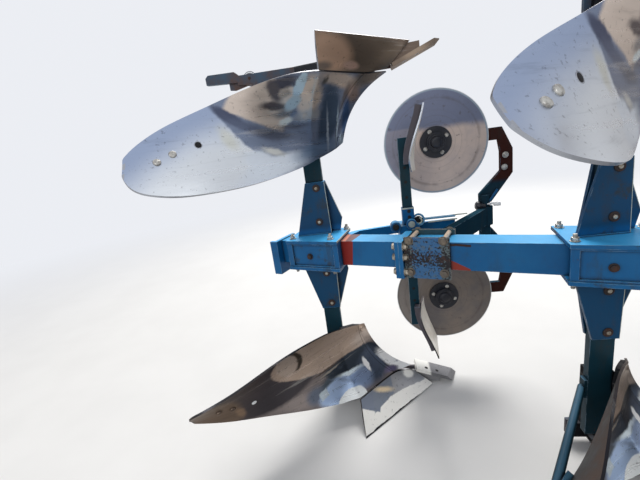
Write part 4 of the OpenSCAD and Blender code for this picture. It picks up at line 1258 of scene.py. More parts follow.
IRON: Colour = (0.022, 0.024, 0.028)
BLUE: Colour = (0.003, 0.097, 0.265)
FADED: Colour = (0.008, 0.120, 0.300)
DEEP: Colour = (0.001, 0.052, 0.130)
TEAL: Colour = (0.009, 0.041, 0.062)
BEAM_BANDS = (
    Band(0.060, 0.190, -0.08, 0.08, (0.250, 0.024, 0.019), lean=0.118, ragged=0.003),
    Band(0.060, 0.189, -0.08, 0.08, (0.170, 0.070, 0.070), ragged=0.003, near=False),
    # A salmon patch of the red primer on the beam's top beside the console: painted sunlight
    Band(0.060, 0.150, -0.08, 0.08, (0.620, 0.230, 0.150), ragged=0.003, skew=-0.18, near=False),
    Band(0.592, 0.668, -0.053, -0.013, (0.250, 0.034, 0.022), drop=0.48, ragged=0.006),
    Band(0.598, 0.672, 0.041, 0.050, (0.030, 0.014, 0.012), drop=0.03, ragged=0.010))
FINISHES: dict[Look, object] = {
    Look.BEAM: Paint("beam_blue", BLUE, FADED, bands=BEAM_BANDS),
    Look.BLUE: Paint("blue_paint", BLUE, FADED),
    Look.CONSOLE: Paint("console_blue", BLUE, FADED, grime=0.45, away=DEEP, smear=0.70),
    Look.SUNNY: Paint("sunny_blue", (0.10, 0.32, 0.56), (0.14, 0.38, 0.62), (0.20, 0.46, 0.70)),
    Look.LEG: Paint("leg_teal", TEAL, (0.008, 0.032, 0.046), (0.05, 0.13, 0.20), 0.03, 0.5, gloss=0.10),
    Look.ARM: Paint("arm_teal", (0.010, 0.034, 0.056), (0.014, 0.042, 0.064), (0.020, 0.060, 0.090), 0.03,
                    0.4, away=(0.045, 0.017, 0.014), away_from=0.17, gloss=0.0),
    Look.STEM: StemPaint("skimmer_stem", TEAL, (0.010, 0.036, 0.050), (0.05, 0.13, 0.20), 0.03, 0.5,
                         gloss=0.10),
    Look.CLAMP: ChippedPlate("clamp_paint"),
    Look.FROG: BodySteel("frog_iron", IRON, UPPER_NOSE, IRON, LOWER_NOSE, -0.33, (0.45, 0.6), 0.010, False),
    Look.LANDSIDE: Metal("landside_paint", (0.012, 0.045, 0.085), (0.090, 0.050, 0.040), (0.45, 0.7), 0.2,
                         9.0),
    Look.BACK: Metal("sheet_back", (0.030, 0.028, 0.028), (0.080, 0.050, 0.038), (0.5, 0.75), 0.4, 9.0),
    # Cut edges: light on the upper bodies and nearly black on the lower ones, the same steel lit and in
    # shade: painted highlight and painted shade
    Look.CUT_EDGE: BodySteel("cut_edge", (0.40, 0.42, 0.46), (), (0.050, 0.048, 0.052), (), seams=False),
    Look.SHEET: BodySteel("sheet_steel", (0.34, 0.41, 0.56), UPPER_SHEET, (0.215, 0.185, 0.180), LOWER_SHEET),
    Look.SHARE: BodySteel("share_steel", (0.24, 0.185, 0.150), UPPER_SHARE, CREAM, LOWER_SHARE, -0.33,
                          (0.28, 0.40), 0.010),
    Look.SKIMMER: Metal("skimmer_steel", (0.97, 0.91, 0.82), (0.80, 0.73, 0.63), (0.30, 0.45), 0.0, 14.0),
    Look.POINT: BodySteel("point_steel", (0.17, 0.13, 0.10), UPPER_POINT, (0.92, 0.91, 0.86), LOWER_POINT,
                          -0.15, (0.28, 0.42), 0.010, False),
    Look.BLACK: Metal("hub_black", (0.008, 0.010, 0.018), (0.022, 0.022, 0.028), (0.34, 0.5), 0.1, 20.0),
    Look.ZINC: Metal("plated_bolts", (0.40, 0.37, 0.31), (0.20, 0.16, 0.12), (0.35, 0.55), 0.7, 45.0),
    Look.BRIGHT: Metal("bright_bolts", (0.56, 0.55, 0.51), (0.26, 0.24, 0.22), (0.30, 0.50), 0.75, 60.0),
    Look.WORN_BOLT: Metal("worn_bolts", (0.105, 0.092, 0.078), (0.200, 0.165, 0.125), (0.40, 0.6), 0.5, 60.0),
    Look.PALE: Metal("pale_steel", (0.82, 0.84, 0.84), (0.70, 0.72, 0.74), (0.35, 0.5), 0.3, 30.0),
    Look.RUSTY: Metal("rusty_bolts", (0.022, 0.015, 0.014), (0.065, 0.030, 0.020), (0.55, 0.8), 0.3, 40.0),
    Look.MACHINED: Metal("machined_steel", (0.30, 0.29, 0.28), (0.16, 0.15, 0.145), (0.3, 0.5), 0.9, 12.0),
    Look.CHROME: Metal("rod_chrome", (0.78, 0.79, 0.80), (0.66, 0.67, 0.69), (0.08, 0.16), 1.0, 8.0, 0.00002),
    Look.CYLINDER: Metal("cylinder_black", (0.014, 0.014, 0.015), (0.035, 0.033, 0.032), (0.35, 0.5), 0.0,
                         9.0),
    Look.RUBBER: Rubber("tyre_rubber"),
    Look.CREAM: Metal("bare_cream", (0.50, 0.53, 0.46), (0.30, 0.36, 0.35), (0.45, 0.65), 0.2, 26.0),
    # Flat dark discs that stand for holes: painted shade
    Look.HOLE: Metal("open_hole", (0.006, 0.006, 0.007), (0.014, 0.012, 0.012), (0.8, 0.95), 0.0, 60.0),
}


class Wardrobe:
    """Builds each finish once and hands it out."""

    TONES: ClassVar[dict[str, dict[str, object]]] = {
        "upper": {"colour": (0.63, 0.51, 0.44), "second": (0.50, 0.42, 0.39), "top": (0.18, 0.20, 0.28),
                  "top_from": 0.075, "side": 0.8, "bevel": (0.30, 0.36, 0.42)},
        "lower": {"colour": (0.25, 0.21, 0.18), "second": (0.18, 0.165, 0.165), "top": (0.28, 0.25, 0.23),
                  "top_from": 1.0, "side": 1.0, "bevel": (0.20, 0.18, 0.16)}}

    def __init__(self, layout: Layout) -> None:
        """Keeps the layout that the finishes read, and adds the discs' own finishes.

        Args:
            layout: Where the plough's pieces stand.
        """
        self.layout = layout
        self.built: dict[Look, Material] = {}
        for look, side in ((Look.DISC_UPPER, "upper"), (Look.DISC_LOWER, "lower")):
            low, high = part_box("disc_" + side)
            FINISHES[look] = DiscSteel(look.value, (low + high) / 2, (high.x - low.x) / 2, **self.TONES[side])

    def get(self, look: Look) -> Material:
        """Returns a finish's material, built when it is first asked for.

        Args:
            look: The finish.

        Returns:
            Its material.
        """
        if look not in self.built:
            self.built[look] = FINISHES[look].build(self.layout)
        return self.built[look]


NODE_LOOKS: dict[str, Look] = {
    "beam_rear": Look.BEAM, "beam_front": Look.BEAM, "points": Look.POINT, "landsides": Look.LANDSIDE,
    "mouldboard_stays": Look.LEG, "skimmer_stems": Look.STEM, "skimmer_blades": Look.SKIMMER,
    "coulter_clamp": Look.CLAMP, "coulter_arms": Look.ARM, "disc_upper": Look.DISC_UPPER,
    "disc_lower": Look.DISC_LOWER, "disc_hub_upper": Look.BLACK, "disc_hub_lower": Look.BLACK,
    "turnover_shaft": Look.MACHINED, "spindle": Look.MACHINED, "cross_shaft": Look.MACHINED,
    "cylinder_barrel": Look.CYLINDER, "cylinder_rod": Look.CHROME, "wheel_tyre": Look.RUBBER}
NODE_LOOKS.update(dict.fromkeys((
    "skimmer_carriers", "swing_frame", "wheel_bracket", "wheel_fork", "wheel_rim", "headstock_plates",
    "headstock_bearing", "top_link_ears", "cylinder_pivot", "stand_guide", "stand_leg"), Look.BLUE))
for kind, worn in (("console_", Look.CONSOLE), ("legs_", Look.LEG), ("frogs_", Look.FROG)):
    NODE_LOOKS.update({kind + place: worn for place in PLACES})


# Sub-assemblies


@dataclass
class Assembly:
    """A group of pieces that are dressed together.

    Args:
        layout: Where the plough's pieces stand.
        wardrobe: The finishes.
    """

    layout: Layout
    wardrobe: Wardrobe

    def finish(self, solid: Solid, name: str, look: Look, body: Body = Body.PLOUGH,
               smooth: float = 32.0) -> bpy.types.Object:
        """Turns a mesh into a piece in the given finish."""
        return solid.piece(name, body, self.wardrobe.get(look), smooth)

    def beam_way(self, s: float, out: float, up: float) -> Vector:
        """Returns a direction given along, out of and up from the beam."""
        return Matrix.Rotation(-self.layout.slant, 3, "Z") @ Vector((s, out, up))


@dataclass
class Carried(Assembly):
    """The frame's own nodes, each with its finish."""

    def build(self) -> None:
        """Gives every node its material."""
        for name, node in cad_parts.items():
            look = NODE_LOOKS.get(name)
            if look is None:
                continue
            node.data.materials.clear()
            node.data.materials.append(self.wardrobe.get(look))
            LOG.info("%s: %s", name, look.value)


@dataclass
class Sheets(Assembly):
    """Mouldboards, shins, shares and skimmer blades, smooth over the grids of their nodes."""

    crease_angle: float = 42.0
    levels: int = 2
    board: float = 0.008
    share: float = 0.011
    blade: float = 0.006

    def smooth_copy(self, node: str, thickness: float, front: Look) -> bpy.types.Object:
        """Makes a smooth copy of a node's sheets, with a cut edge and a rough back.

        Args:
            node: Name of the node that it stands for.
            thickness: Thickness of the sheets.
            front: Finish of the working face.

        Returns:
            The new piece.
        """
        bm = bmesh.new()
        bm.from_mesh(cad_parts[node].data)
        bmesh.ops.remove_doubles(bm, verts=bm.verts, dist=2e-5)
        bmesh.ops.join_triangles(bm, faces=bm.faces, angle_face_threshold=math.radians(38),
                                 angle_shape_threshold=math.radians(65))
        bmesh.ops.recalc_face_normals(bm, faces=bm.faces)
        crease = bm.edges.layers.float.new("crease_edge")
        for edge in bm.edges:
            if not edge.is_manifold or edge.calc_face_angle(0) > math.radians(self.crease_angle):
                edge[crease] = 1.0
                edge.smooth = False
        for face in bm.faces:
            narrow = min(edge.calc_length() for edge in face.edges) < thickness * 1.04
            face.material_index = 1 if narrow else (0 if face.normal.y < 0 else 2)
            face.smooth = True
        mesh = bpy.data.meshes.new(node + "_sheet")
        bm.to_mesh(mesh)
        bm.free()
        for look in (front, Look.CUT_EDGE, Look.BACK):
            mesh.materials.append(self.wardrobe.get(look))
        piece = bpy.data.objects.new(node + "_sheet", mesh)
        rounds = piece.modifiers.new("rounds", "SUBSURF")
        rounds.levels = rounds.render_levels = self.levels
        bpy.context.scene.collection.objects.link(piece)
        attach(piece, Body.PLOUGH.value)
        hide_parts(node)
        LOG.info("%s: smooth copy", node)
        return piece

    def build(self) -> None:
        """Makes the smooth sheets of all bodies."""
        for place in PLACES:
            self.smooth_copy("mouldboards_" + place, self.board, Look.SHEET)
            self.smooth_copy("shins_" + place, self.board, Look.SHEET)
            self.smooth_copy("shares_" + place, self.share, Look.SHARE)
        self.smooth_copy("skimmer_blades", self.blade, Look.SKIMMER)


def faces_of(node: str) -> BVHTree:
    """Returns a tree of a node's faces for casting rays at them."""
    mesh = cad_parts[node].data
    return BVHTree.FromPolygons([v.co for v in mesh.vertices], [tuple(p.vertices) for p in mesh.polygons])


@dataclass
class BodyBolts(Assembly):
    """Plough bolts and holes in the sheets, found on the faces by casting a ray at them; the holes are flat
    discs of painted shade, pale painted light in the lower tail holes.
    """

    sheet_bolts: Spots = ((-0.485, -0.218, 0.724), (-0.401, -0.135, 0.728), (-0.528, -0.132, 0.493),
                          (-0.476, -0.074, 0.486), (-0.600, -0.225, 0.600))
    share_bolts: Spots = ((-0.424, -0.212, 0.765), (-0.305, -0.115, 0.771))
    tail_bolts: Spots = ((-1.007, -0.606, 0.511), (-1.046, -0.646, 0.492))
    tail_holes: Spots = ((-0.938, -0.545, 0.532),)
    point_holes: Spots = ((-0.155, 0.778), (-0.100, 0.797))
    point_y: float = -0.026
    bolt: Bolt = Bolt(0.0125)
    tail_hole: float = 0.0115
    point_hole: float = 0.0075
    look_from: Vector = field(default_factory=lambda: Vector((0.55, -0.80, 0.0)))
    CROWN: ClassVar[Spots] = ((0.0135, -0.001), (0.0135, 0.0015), (0.0118, 0.0045), (0.007, 0.0066),
                              (0.0, 0.0072))
    RIM: ClassVar[Spots] = ((1.25, -0.0008), (1.22, 0.0005), (1.05, 0.0009), (0.98, 0.0002))
    HOLLOW: ClassVar[Spots] = ((1.0, 0.0002), (0.93, 0.0006), (0.0, 0.0006))

    def on_sheets(self, number: int, spots: Spots, side: int) -> list[Matrix]:
        """Finds spots on a body's working faces.

        Args:
            number: Number of the body.
            spots: About where they lie: x, y and distance from the beam's centreline.
            side: 1 above the beam, -1 below it.

        Returns:
            A place on the face for each spot that lies on one, with its Z along the face's normal.
        """
        trees = [faces_of(sheet + PLACES[number]) for sheet in ("mouldboards_", "shins_", "shares_")]
        places = []
        for x, y, q in spots:
            start = self.layout.body(number, x, y, self.layout.height + side * q) + self.look_from * 0.3
            hits = [tree.ray_cast(start, -self.look_from.normalized())[:2] for tree in trees]
            hits = [hit for hit in hits if hit[0] is not None]
            if hits:
                places.append(facing(*min(hits, key=lambda hit: (hit[0] - start).length)))
        return places

    def on_point(self, number: int, side: int) -> list[Matrix]:
        """Finds the holes' places on a share point's worn face.

        Args:
            number: Number of the body.
            side: 1 above the beam, -1 below it.

        Returns:
            A place on the face for each hole.
        """
        tree = faces_of("points")
        places = []
        for x, q in self.point_holes:
            start = self.layout.body(number, x, self.point_y, self.layout.height + side * (q - 0.2))
            point, normal = tree.ray_cast(start, Vector((0, 0, side)))[:2]
            if point is not None:
                places.append(facing(point, normal))
        return places

    def hole(self, rims: Solid, hollows: Solid, place: Matrix, radius: float) -> None:
        """Adds a chamfered rim and a flat disc inside it for the hollow: painted shade where dark, painted
        light where pale.
        """
        rims.lathe(place, [(radius * share, height) for share, height in self.RIM], 32)
        hollows.lathe(place, [(radius * share, height) for share, height in self.HOLLOW], 32)

    def build(self) -> None:
        """Adds the bolts and holes of every body."""
        for number, place in enumerate(PLACES):
            flush, share_flush, crowns, rims, hollows, lit_hole_discs = (Solid() for _ in range(6))
            for side in (1, -1):
                for spot in self.on_sheets(number, self.sheet_bolts, side):
                    self.bolt.flush(flush, spot)
                for spot in self.on_sheets(number, self.share_bolts, side):
                    self.bolt.flush(share_flush, spot)
                for spot in self.on_point(number, side):
                    self.hole(rims, hollows, spot, self.point_hole)
                for spot in self.on_sheets(number, self.tail_bolts, side):
                    (crowns if side > 0 else flush).lathe(spot, self.CROWN, 32)
                for spot in self.on_sheets(number, self.tail_holes, side):
                    # Below the beam the tail hole is a pale disc: painted light, standing for the light seen
                    # through it
                    self.hole(rims, hollows if side > 0 else lit_hole_discs, spot, self.tail_hole)
            self.finish(flush, "plough_bolts_" + place, Look.SHEET)
            self.finish(share_flush, "share_bolts_" + place, Look.SHARE)
            self.finish(lit_hole_discs, "hole_light_discs_" + place, Look.PALE)
            self.finish(crowns, "tail_bolts_" + place, Look.BRIGHT)
            self.finish(rims, "hole_rims_" + place, Look.CUT_EDGE)
            self.finish(hollows, "hole_shade_discs_" + place, Look.HOLE)


@dataclass
class FlangedJoint(Assembly):
    """Bolts of the beam's flanged joint."""

    back: float = 0.389
    front: float = 0.421
    heights: Spot = (0.040, -0.004, -0.066)
    out: float = 0.070
    bolt: Bolt = Bolt(0.016)

    def build(self) -> None:
        """Adds the bolts, which run along the beam."""
        solid = Solid()
        for side in (-1, 1):
            for up in self.heights:
                head = self.layout.beam(self.back, side * self.out, up)
                nut = self.layout.beam(self.front, side * self.out, up)
                self.bolt.head(solid, facing(head, self.beam_way(-1, 0, 0), 30 * up))
                self.bolt.nut(solid, facing(nut, self.beam_way(1, 0, 0), 20 * up))
        self.finish(solid, "flange_bolts", Look.ZINC)


@dataclass
class Consoles(Assembly):
    """Bolts, light strips along the edges and welds on the consoles and the cheeks that hold the legs; the
    strips are painted highlights, with bare steel.
    """

    near_plate: float = 0.098
    rim_top: float = 0.0693
    rim_under: float = 0.0553
    near_face: float = -0.1503
    far_face: float = -0.0957
    studs: Spots = ((-0.102, -0.071), (0.097, -0.071), (0.097, 0.100), (-0.135, 0.100))
    leg_pins: Spots = ((-0.603, 0.286), (-0.609, 0.128))
    near_foot: Spot = (-0.714, -0.562)
    far_foot: Spot = (-0.686, -0.522)
    near_edge: Spots = ((-0.5585, 0.0703), (-0.5645, 0.311))
    far_edge: Spots = ((-0.5185, 0.0703), (-0.5045, 0.130), (-0.5645, 0.311))
    upper_edge: Spot = (-0.108, 0.121)
    edge_along: float = 0.1272
    edge_lean: float = -0.18
    PIN: ClassVar[Spots] = ((0.0165, -0.001), (0.0165, 0.0026), (0.0150, 0.0040), (0.0088, 0.0044),
                            (0.0, 0.0044))

    @staticmethod
    def weld(solid: Solid, start: Vector, end: Vector) -> None:
        """Adds a weld bead between two points."""
        steps = max(4, int((end - start).length / 0.0035))
        solid.bar([start.lerp(end, n / steps) for n in range(steps + 1)], 0.0030, 8, 0.22)

    def pin(self, dark: Solid, bright: Solid, place: Matrix) -> None:
        """Adds a leg's pin: a dark round washer and a small worn head in it."""
        dark.lathe(place, self.PIN, 32)
        bright.cone(place @ Matrix.Translation((0, 0, 0.004)), 0.0078, 0.0066, 0.0045, 24, 0.001)

    def plate_bolts(self, number: int, dark: Solid, light: Solid) -> None:
        """Adds the near plate's bolt and the nuts and studs that hold the console together.

        Args:
            number: Number of the console.
            dark: Mesh of the rusty pieces.
            light: Mesh of the bright pieces.
        """
        start = number * self.layout.along
        middle = self.layout.beam(start - 0.004, -self.near_plate, -0.006)
        Bolt(0.013).head(dark, facing(middle, self.beam_way(0, -1, 0), 0.4))
        for s, out in self.studs:
            for up in (-1, 1):
                end = self.layout.beam(start + s, out, up * self.rim_top)
                Bolt(0.014).nut(light, facing(end, (0, 0, up), 0.5 + 3 * s), 0.8)
            if out > 0:
                foot = self.layout.beam(start + s, out, -self.rim_under)
                light.cone(facing(foot, (0, 0, 1)), 0.007, 0.007, 2 * self.rim_under, 20)

    def worn_and_lit_edges(self, number: int, edges: Solid) -> None:
        """Adds cream strips along the edges of the upper plate and of the cheeks: painted highlights where
        the edges catch the light, with bare steel.

        Args:
            number: Number of the console.
            edges: Mesh of the edges.
        """
        lay = self.layout
        start = number * lay.along + self.edge_along
        near, far = (lay.beam(start + self.edge_lean * out, out, self.rim_top - 0.003)
                     for out in self.upper_edge)
        edges.box(facing(near.lerp(far, 0.5), far - near), (0.0030, 0.0075, (far - near).length), 0.0008)
        for up in (-1, 1):
            for y, line in ((self.near_face + 0.001, self.near_edge), (self.far_face - 0.011, self.far_edge)):
                edges.bar([lay.body(number, x, y, lay.height + up * q) for x, q in line], 0.0014, 8)

    def build(self) -> None:
        """Adds the pieces of all three consoles."""
        lay = self.layout
        for number, place in enumerate(PLACES):
            dark, light, blue, edges, heads = (Solid() for _ in range(5))
            self.plate_bolts(number, dark, light)
            self.worn_and_lit_edges(number, edges)
            for up in (-1, 1):
                for x, q in self.leg_pins:
                    near = lay.body(number, x, self.near_face, lay.height + up * q)
                    far = lay.body(number, x, self.far_face, lay.height + up * q)
                    self.pin(dark, heads, facing(near, (0, -1, 0), 0.2))
                    Bolt(0.016).nut(dark, facing(far, (0, 1, 0)), 0.7)
                foot = lay.height + up * (self.rim_top + 0.0010)
                for y, ends in ((self.near_face - 0.001, self.near_foot),
                                (self.far_face + 0.001, self.far_foot)):
                    self.weld(blue, *(lay.body(number, x, y, foot) for x in ends))
            self.finish(dark, "console_pins_" + place, Look.RUSTY)
            self.finish(heads, "pin_heads_" + place, Look.ZINC)
            self.finish(light, "console_nuts_" + place, Look.BRIGHT)
            self.finish(blue, "console_welds_" + place, Look.CONSOLE, smooth=60)
            # Cream strips along the edges: painted highlights, with bare steel
            self.finish(edges, "console_edges_" + place, Look.CREAM)


@dataclass
class Skimmers(Assembly):
    """Lips, bosses, bolts and holes of the skimmers' stems and carriers, and the rear carrier's hook."""

    stem_x: float = -0.199
    stem_near: float = -0.119
    collar_near: float = -0.128
    block_near: float = -0.138
    collar_end: float = 0.143
    collar_holes: Spot = (0.126, 0.099)
    stem_holes: Spot = (0.190, 0.260, 0.324)
    bosses: Spots = ((-0.062, 0.062), (0.010, 0.068))
    boss_length: float = 0.042

    @staticmethod
    def hole(solid: Solid, point: Vector, radius: float) -> None:
        """Adds a hole on a face that looks to the furrow side, as a flat dark disc with a rim: painted shade.
        """
        solid.lathe(facing(point, (0, -1, 0)), [(radius, -0.001), (radius, 0.0006), (radius * 0.75, 0.0009),
                                                (radius * 0.7, 0.0002), (0.0, 0.0002)], 24)

    def collar(self, number: int, up: int, light: Solid, dark: Solid) -> None:
        """Adds a collar's bare lip and the holes in it and in the stem.

        Args:
            number: Number of the body.
            up: 1 above the beam, -1 below it.
            light: Mesh of the bare pieces.
            dark: Mesh of the holes.
        """
        lay = self.layout
        lip = lay.height + up * (self.collar_end - 0.003)
        light.box(facing(lay.body(number, self.stem_x, self.collar_near + 0.001, lip), (0, -1, 0)),
                  (0.053, 0.006, 0.007), 0.001)
        for q in self.collar_holes:
            spot = lay.body(number, self.stem_x + 0.004, self.collar_near, lay.height + up * q)
            self.hole(dark, spot, 0.0080)
        for q in self.stem_holes:
            self.hole(dark, lay.body(number, self.stem_x, self.stem_near, lay.height + up * q), 0.0068)

    def build(self) -> None:
        """Adds the skimmers' small pieces."""
        lay = self.layout
        for number, place in enumerate(PLACES):
            blue, light, dark = (Solid() for _ in range(3))
            for up in (-1, 1):
                self.collar(number, up, light, dark)
            for shift, z in self.bosses:
                boss = lay.body(number, self.stem_x + shift, self.block_near + 0.034, lay.height + z)
                blue.cone(facing(boss, (0, -1, 0)), 0.024, 0.024, self.boss_length, 32, 0.002)
                end = boss - Vector((0, self.boss_length, 0))
                Bolt(0.014).head(dark if shift < 0 else light, facing(end, (0, -1, 0), 0.3))
            for side in (-1, 1):
                at = lay.body(number, self.stem_x + side * 0.034, self.block_near, lay.height - 0.020)
                Bolt(0.012).head(light, facing(at, (0, -1, 0), 0.3 * side))
            self.finish(blue, "skimmer_bosses_" + place, Look.BLUE)
            self.finish(light, "skimmer_bolts_" + place, Look.CREAM)
            self.finish(dark, "skimmer_hole_shades_" + place, Look.HOLE)
        self.carrier_hook()

    def carrier_hook(self) -> None:
        """Adds the ring, the hook in it, a dark disc behind it for the hollow (painted shade), the bar and
        its bare strips beside the rear skimmers' carrier.
        """
        light, blue, dark = (Solid() for _ in range(3))
        middle = self.layout.body(0, -0.151, -0.100, self.layout.height + 0.076)
        blue.ring(facing(middle, (0.15, -1.0, 0.25)), 0.025, 0.0050)
        dark.cone(facing(middle + Vector((0, 0.012, -0.006)), (0, -1, 0)), 0.021, 0.021, 0.006, 28)
        turns = [math.radians(degrees) for degrees in range(-150, 100, 25)]
        hook = [Vector((0.014 * math.cos(a), -0.004, 0.014 * math.sin(a) - 0.004)) for a in turns]
        light.bar([middle + point for point in hook], 0.0038, 10)
        # Mesh, place from the point's tip and over the centreline, turn, size and bevel of each strip
        for solid, spot, turn, size, bevel in (
                (blue, (-0.047, -0.022, 0.059), 0.0, (0.156, 0.024, 0.008), 0.0015),
                (light, (-0.032, -0.046, 0.047), 0.05, (0.136, 0.010, 0.005), 0.001),
                (light, (0.055, -0.022, 0.0625), 0.02, (0.066, 0.010, 0.005), 0.001)):
            place = self.layout.body(0, *spot) + Vector((0, 0, self.layout.height))
            solid.box(facing(place, (0, 0, 1), turn), size, bevel)
        self.finish(light, "carrier_hook", Look.CREAM)
        self.finish(dark, "carrier_hollow_shade", Look.HOLE)
        self.finish(blue, "carrier_bar", Look.SUNNY)


@dataclass
class Coulters(Assembly):
    """Bolts of the clamp, the arms and the hubs, and the latch on the post."""

    clamp: Spots = ((0.446, 0.065), (0.576, 0.065), (0.446, -0.066), (0.576, -0.066))
    clamp_face: float = 0.0693
    hub: Spot = (-0.019, 0.409)
    hub_ring: float = 0.058
    hub_depth: float = 0.0257
    arm_bolts: Spots = ((0.320, 0.240), (0.325, 0.300))
    arm_y: float = 0.149
    NEAR: ClassVar[Spot] = (0, -1, 0)
    HUB_BOLT: ClassVar[Spots] = ((0.0085, 0.0), (0.0082, 0.0025), (0.006, 0.0046), (0.0, 0.0052))
    HUB_CAP: ClassVar[Spots] = ((0.024, -0.002), (0.024, 0.0008), (0.021, 0.0026), (0.012, 0.0033),
                                (0.0, 0.0034))
    KNOB: ClassVar[Spots] = ((0.0, 0.0), (0.014, 0.001), (0.022, 0.008), (0.024, 0.018), (0.018, 0.027),
                             (0.014, 0.032), (0.014, 0.050), (0.0, 0.050))
    EYE: ClassVar[Spots] = ((0.019, -0.018), (0.019, 0.004), (0.013, 0.010), (0.006, 0.012), (0.0, 0.012))
    GRIP: ClassVar[Spots] = ((0.0, 0.0), (0.008, 0.001), (0.010, 0.012), (0.013, 0.024), (0.012, 0.032),
                             (0.0, 0.035))

    def hub_pieces(self, side: int, body: Body) -> None:
        """Adds the four bolts and the cap of a hub.

        Args:
            side: 1 above the beam, -1 below it.
            body: The disc's body.
        """
        bolts, cap = Solid(), Solid()
        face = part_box("disc_hub_upper" if side > 0 else "disc_hub_lower")[0].y
        middle = self.layout.body(0, self.hub[0], 0.0, self.layout.height + side * self.hub[1])
        middle.y = face
        for angle in spokes(4, math.radians(28 if side > 0 else 73)):
            out = Vector((math.cos(angle), 0, math.sin(angle))) * self.hub_ring
            at = middle + out + Vector((0, self.hub_depth, 0))
            bolts.cone(facing(at, self.NEAR), 0.0098, 0.0098, 0.0015, 28)
            bolts.lathe(facing(at - Vector((0, 0.0014, 0)), self.NEAR), self.HUB_BOLT, 24)
        cap.lathe(facing(middle, self.NEAR), self.HUB_CAP, 36)
        cap.ring(facing(middle + Vector((0, 0.008, 0)), self.NEAR), 0.040, 0.0022)
        self.finish(bolts, f"hub_bolts_{body.value}", Look.BRIGHT, body)
        self.finish(cap, f"hub_cap_{body.value}", Look.BLACK, body)

    def build(self) -> None:
        """Adds the pieces of the rear pair's coulters."""
        lay = self.layout
        heads, bright = Solid(), Solid()
        for s, up in self.clamp:
            near = lay.beam(s, -self.clamp_face, up)
            far = lay.beam(s, self.clamp_face + 0.0007, up)
            Bolt(0.0165).head(heads, facing(near, self.beam_way(0, -1, 0), 0.3 + 4 * s))
            Bolt(0.0165).nut(heads, facing(far, self.beam_way(0, 1, 0), 0.5), 0.8)
        self.finish(heads, "clamp_bolts", Look.WORN_BOLT)
        for side, body in ((1, Body.DISC_UPPER), (-1, Body.DISC_LOWER)):
            self.hub_pieces(side, body)
            for x, q in self.arm_bolts:
                at = lay.body(0, x, self.arm_y, lay.height + side * q)
                Bolt(0.014).head(bright, facing(at, self.NEAR, 0.2))
        self.finish(bright, "arm_bolts", Look.BRIGHT)
        self.latch()

    def post(self, x: float, y: float, up: float) -> Vector:
        """Returns a point at the post's head, given up from the beam's centreline."""
        return self.layout.body(0, x, y, self.layout.height + up)

    def latch(self) -> None:
        """Adds the knob, the eye, the pin and the bar at the post's head."""
        black, bright, blue, brown = (Solid() for _ in range(4))
        black.lathe(facing(self.post(0.172, 0.148, 0.058), (1, -0.1, -0.10)), self.KNOB, 28)
        brown.lathe(facing(self.post(0.214, 0.146, 0.046), (-0.2, -1, 0.1)), self.EYE, 24)
        pin = facing(self.post(0.222, 0.140, 0.062), (1, -0.05, 0.03))
        bright.cone(pin, 0.0055, 0.0055, 0.048, 20, 0.001)
        bright.lathe(facing(self.post(0.262, 0.138, 0.056), (1, -0.05, 0.10)), self.GRIP, 24)
        blue.box(facing(self.post(0.262, 0.160, 0.100), (0.70, 0, 1)), (0.034, 0.012, 0.080), 0.002)
        self.finish(black, "latch_knob", Look.BLACK)
        self.finish(brown, "latch_eye", Look.RUSTY)
        self.finish(bright, "latch_pin", Look.PALE)
        self.finish(blue, "latch_bar", Look.BLUE)


@dataclass
class SwingGear(Assembly):
    """Bolts of the swing frame and its shaft's flange, nuts and nipples of the pivot, caps of the spindle."""

    shaft_x: float = 0.030
    turn_y: float = 0.200
    flange: float = 0.100
    flange_bolts: int = 8
    pivot_s: float = -0.512
    plate_top: float = 0.091
    plate_bolts: Spot = (-0.085, -0.042, 0.042, 0.085)
    spindle_pin: Spot = (-0.060, 0.065)
    NIPPLE: ClassVar[Spots] = ((0.0055, -0.001), (0.0055, 0.004), (0.003, 0.0055), (0.0026, 0.008),
                               (0.0036, 0.010), (0.003, 0.0125), (0.0, 0.0130))

    def build(self) -> None:
        """Adds the swing frame's small pieces."""
        lay = self.layout
        bolts, nipples, caps = (Solid() for _ in range(3))
        for number, angle in enumerate(spokes(self.flange_bolts, math.pi / self.flange_bolts)):
            at = lay.body(2, self.shaft_x, self.turn_y + self.flange * math.cos(angle),
                          lay.height + self.flange * math.sin(angle))
            Bolt(0.014).head(bolts, facing(at, (1, 0, 0), number * 0.7))
        pivot = lay.beam(2 * lay.along + self.pivot_s, 0, 0)
        for up in (-1, 1):
            end = pivot + Vector((0, 0, up * (self.plate_top + 0.022)))
            Bolt(0.030).nut(caps, facing(end, (0, 0, up), 0.2), 0.3)
            nipples.lathe(facing(end + Vector((0.034, 0.0, 0.0)), (0, 0, up)), self.NIPPLE, 20)
            pin = lay.body(2, *self.spindle_pin, lay.height + up * (self.plate_top + 0.001))
            caps.cone(facing(pin, (0, 0, up)), 0.021, 0.021, 0.006, 32, 0.001)
        for out in self.plate_bolts:
            for up in (-1, 1):
                at = lay.body(2, self.shaft_x - 0.060, self.turn_y + out, lay.height + up * self.plate_top)
                Bolt(0.012).head(bolts, facing(at, (0, 0, up), out * 40))
        self.finish(bolts, "flange_ring_bolts", Look.ZINC)
        self.finish(caps, "pivot_nuts", Look.WORN_BOLT)
        self.finish(nipples, "pivot_nipples", Look.BRIGHT)


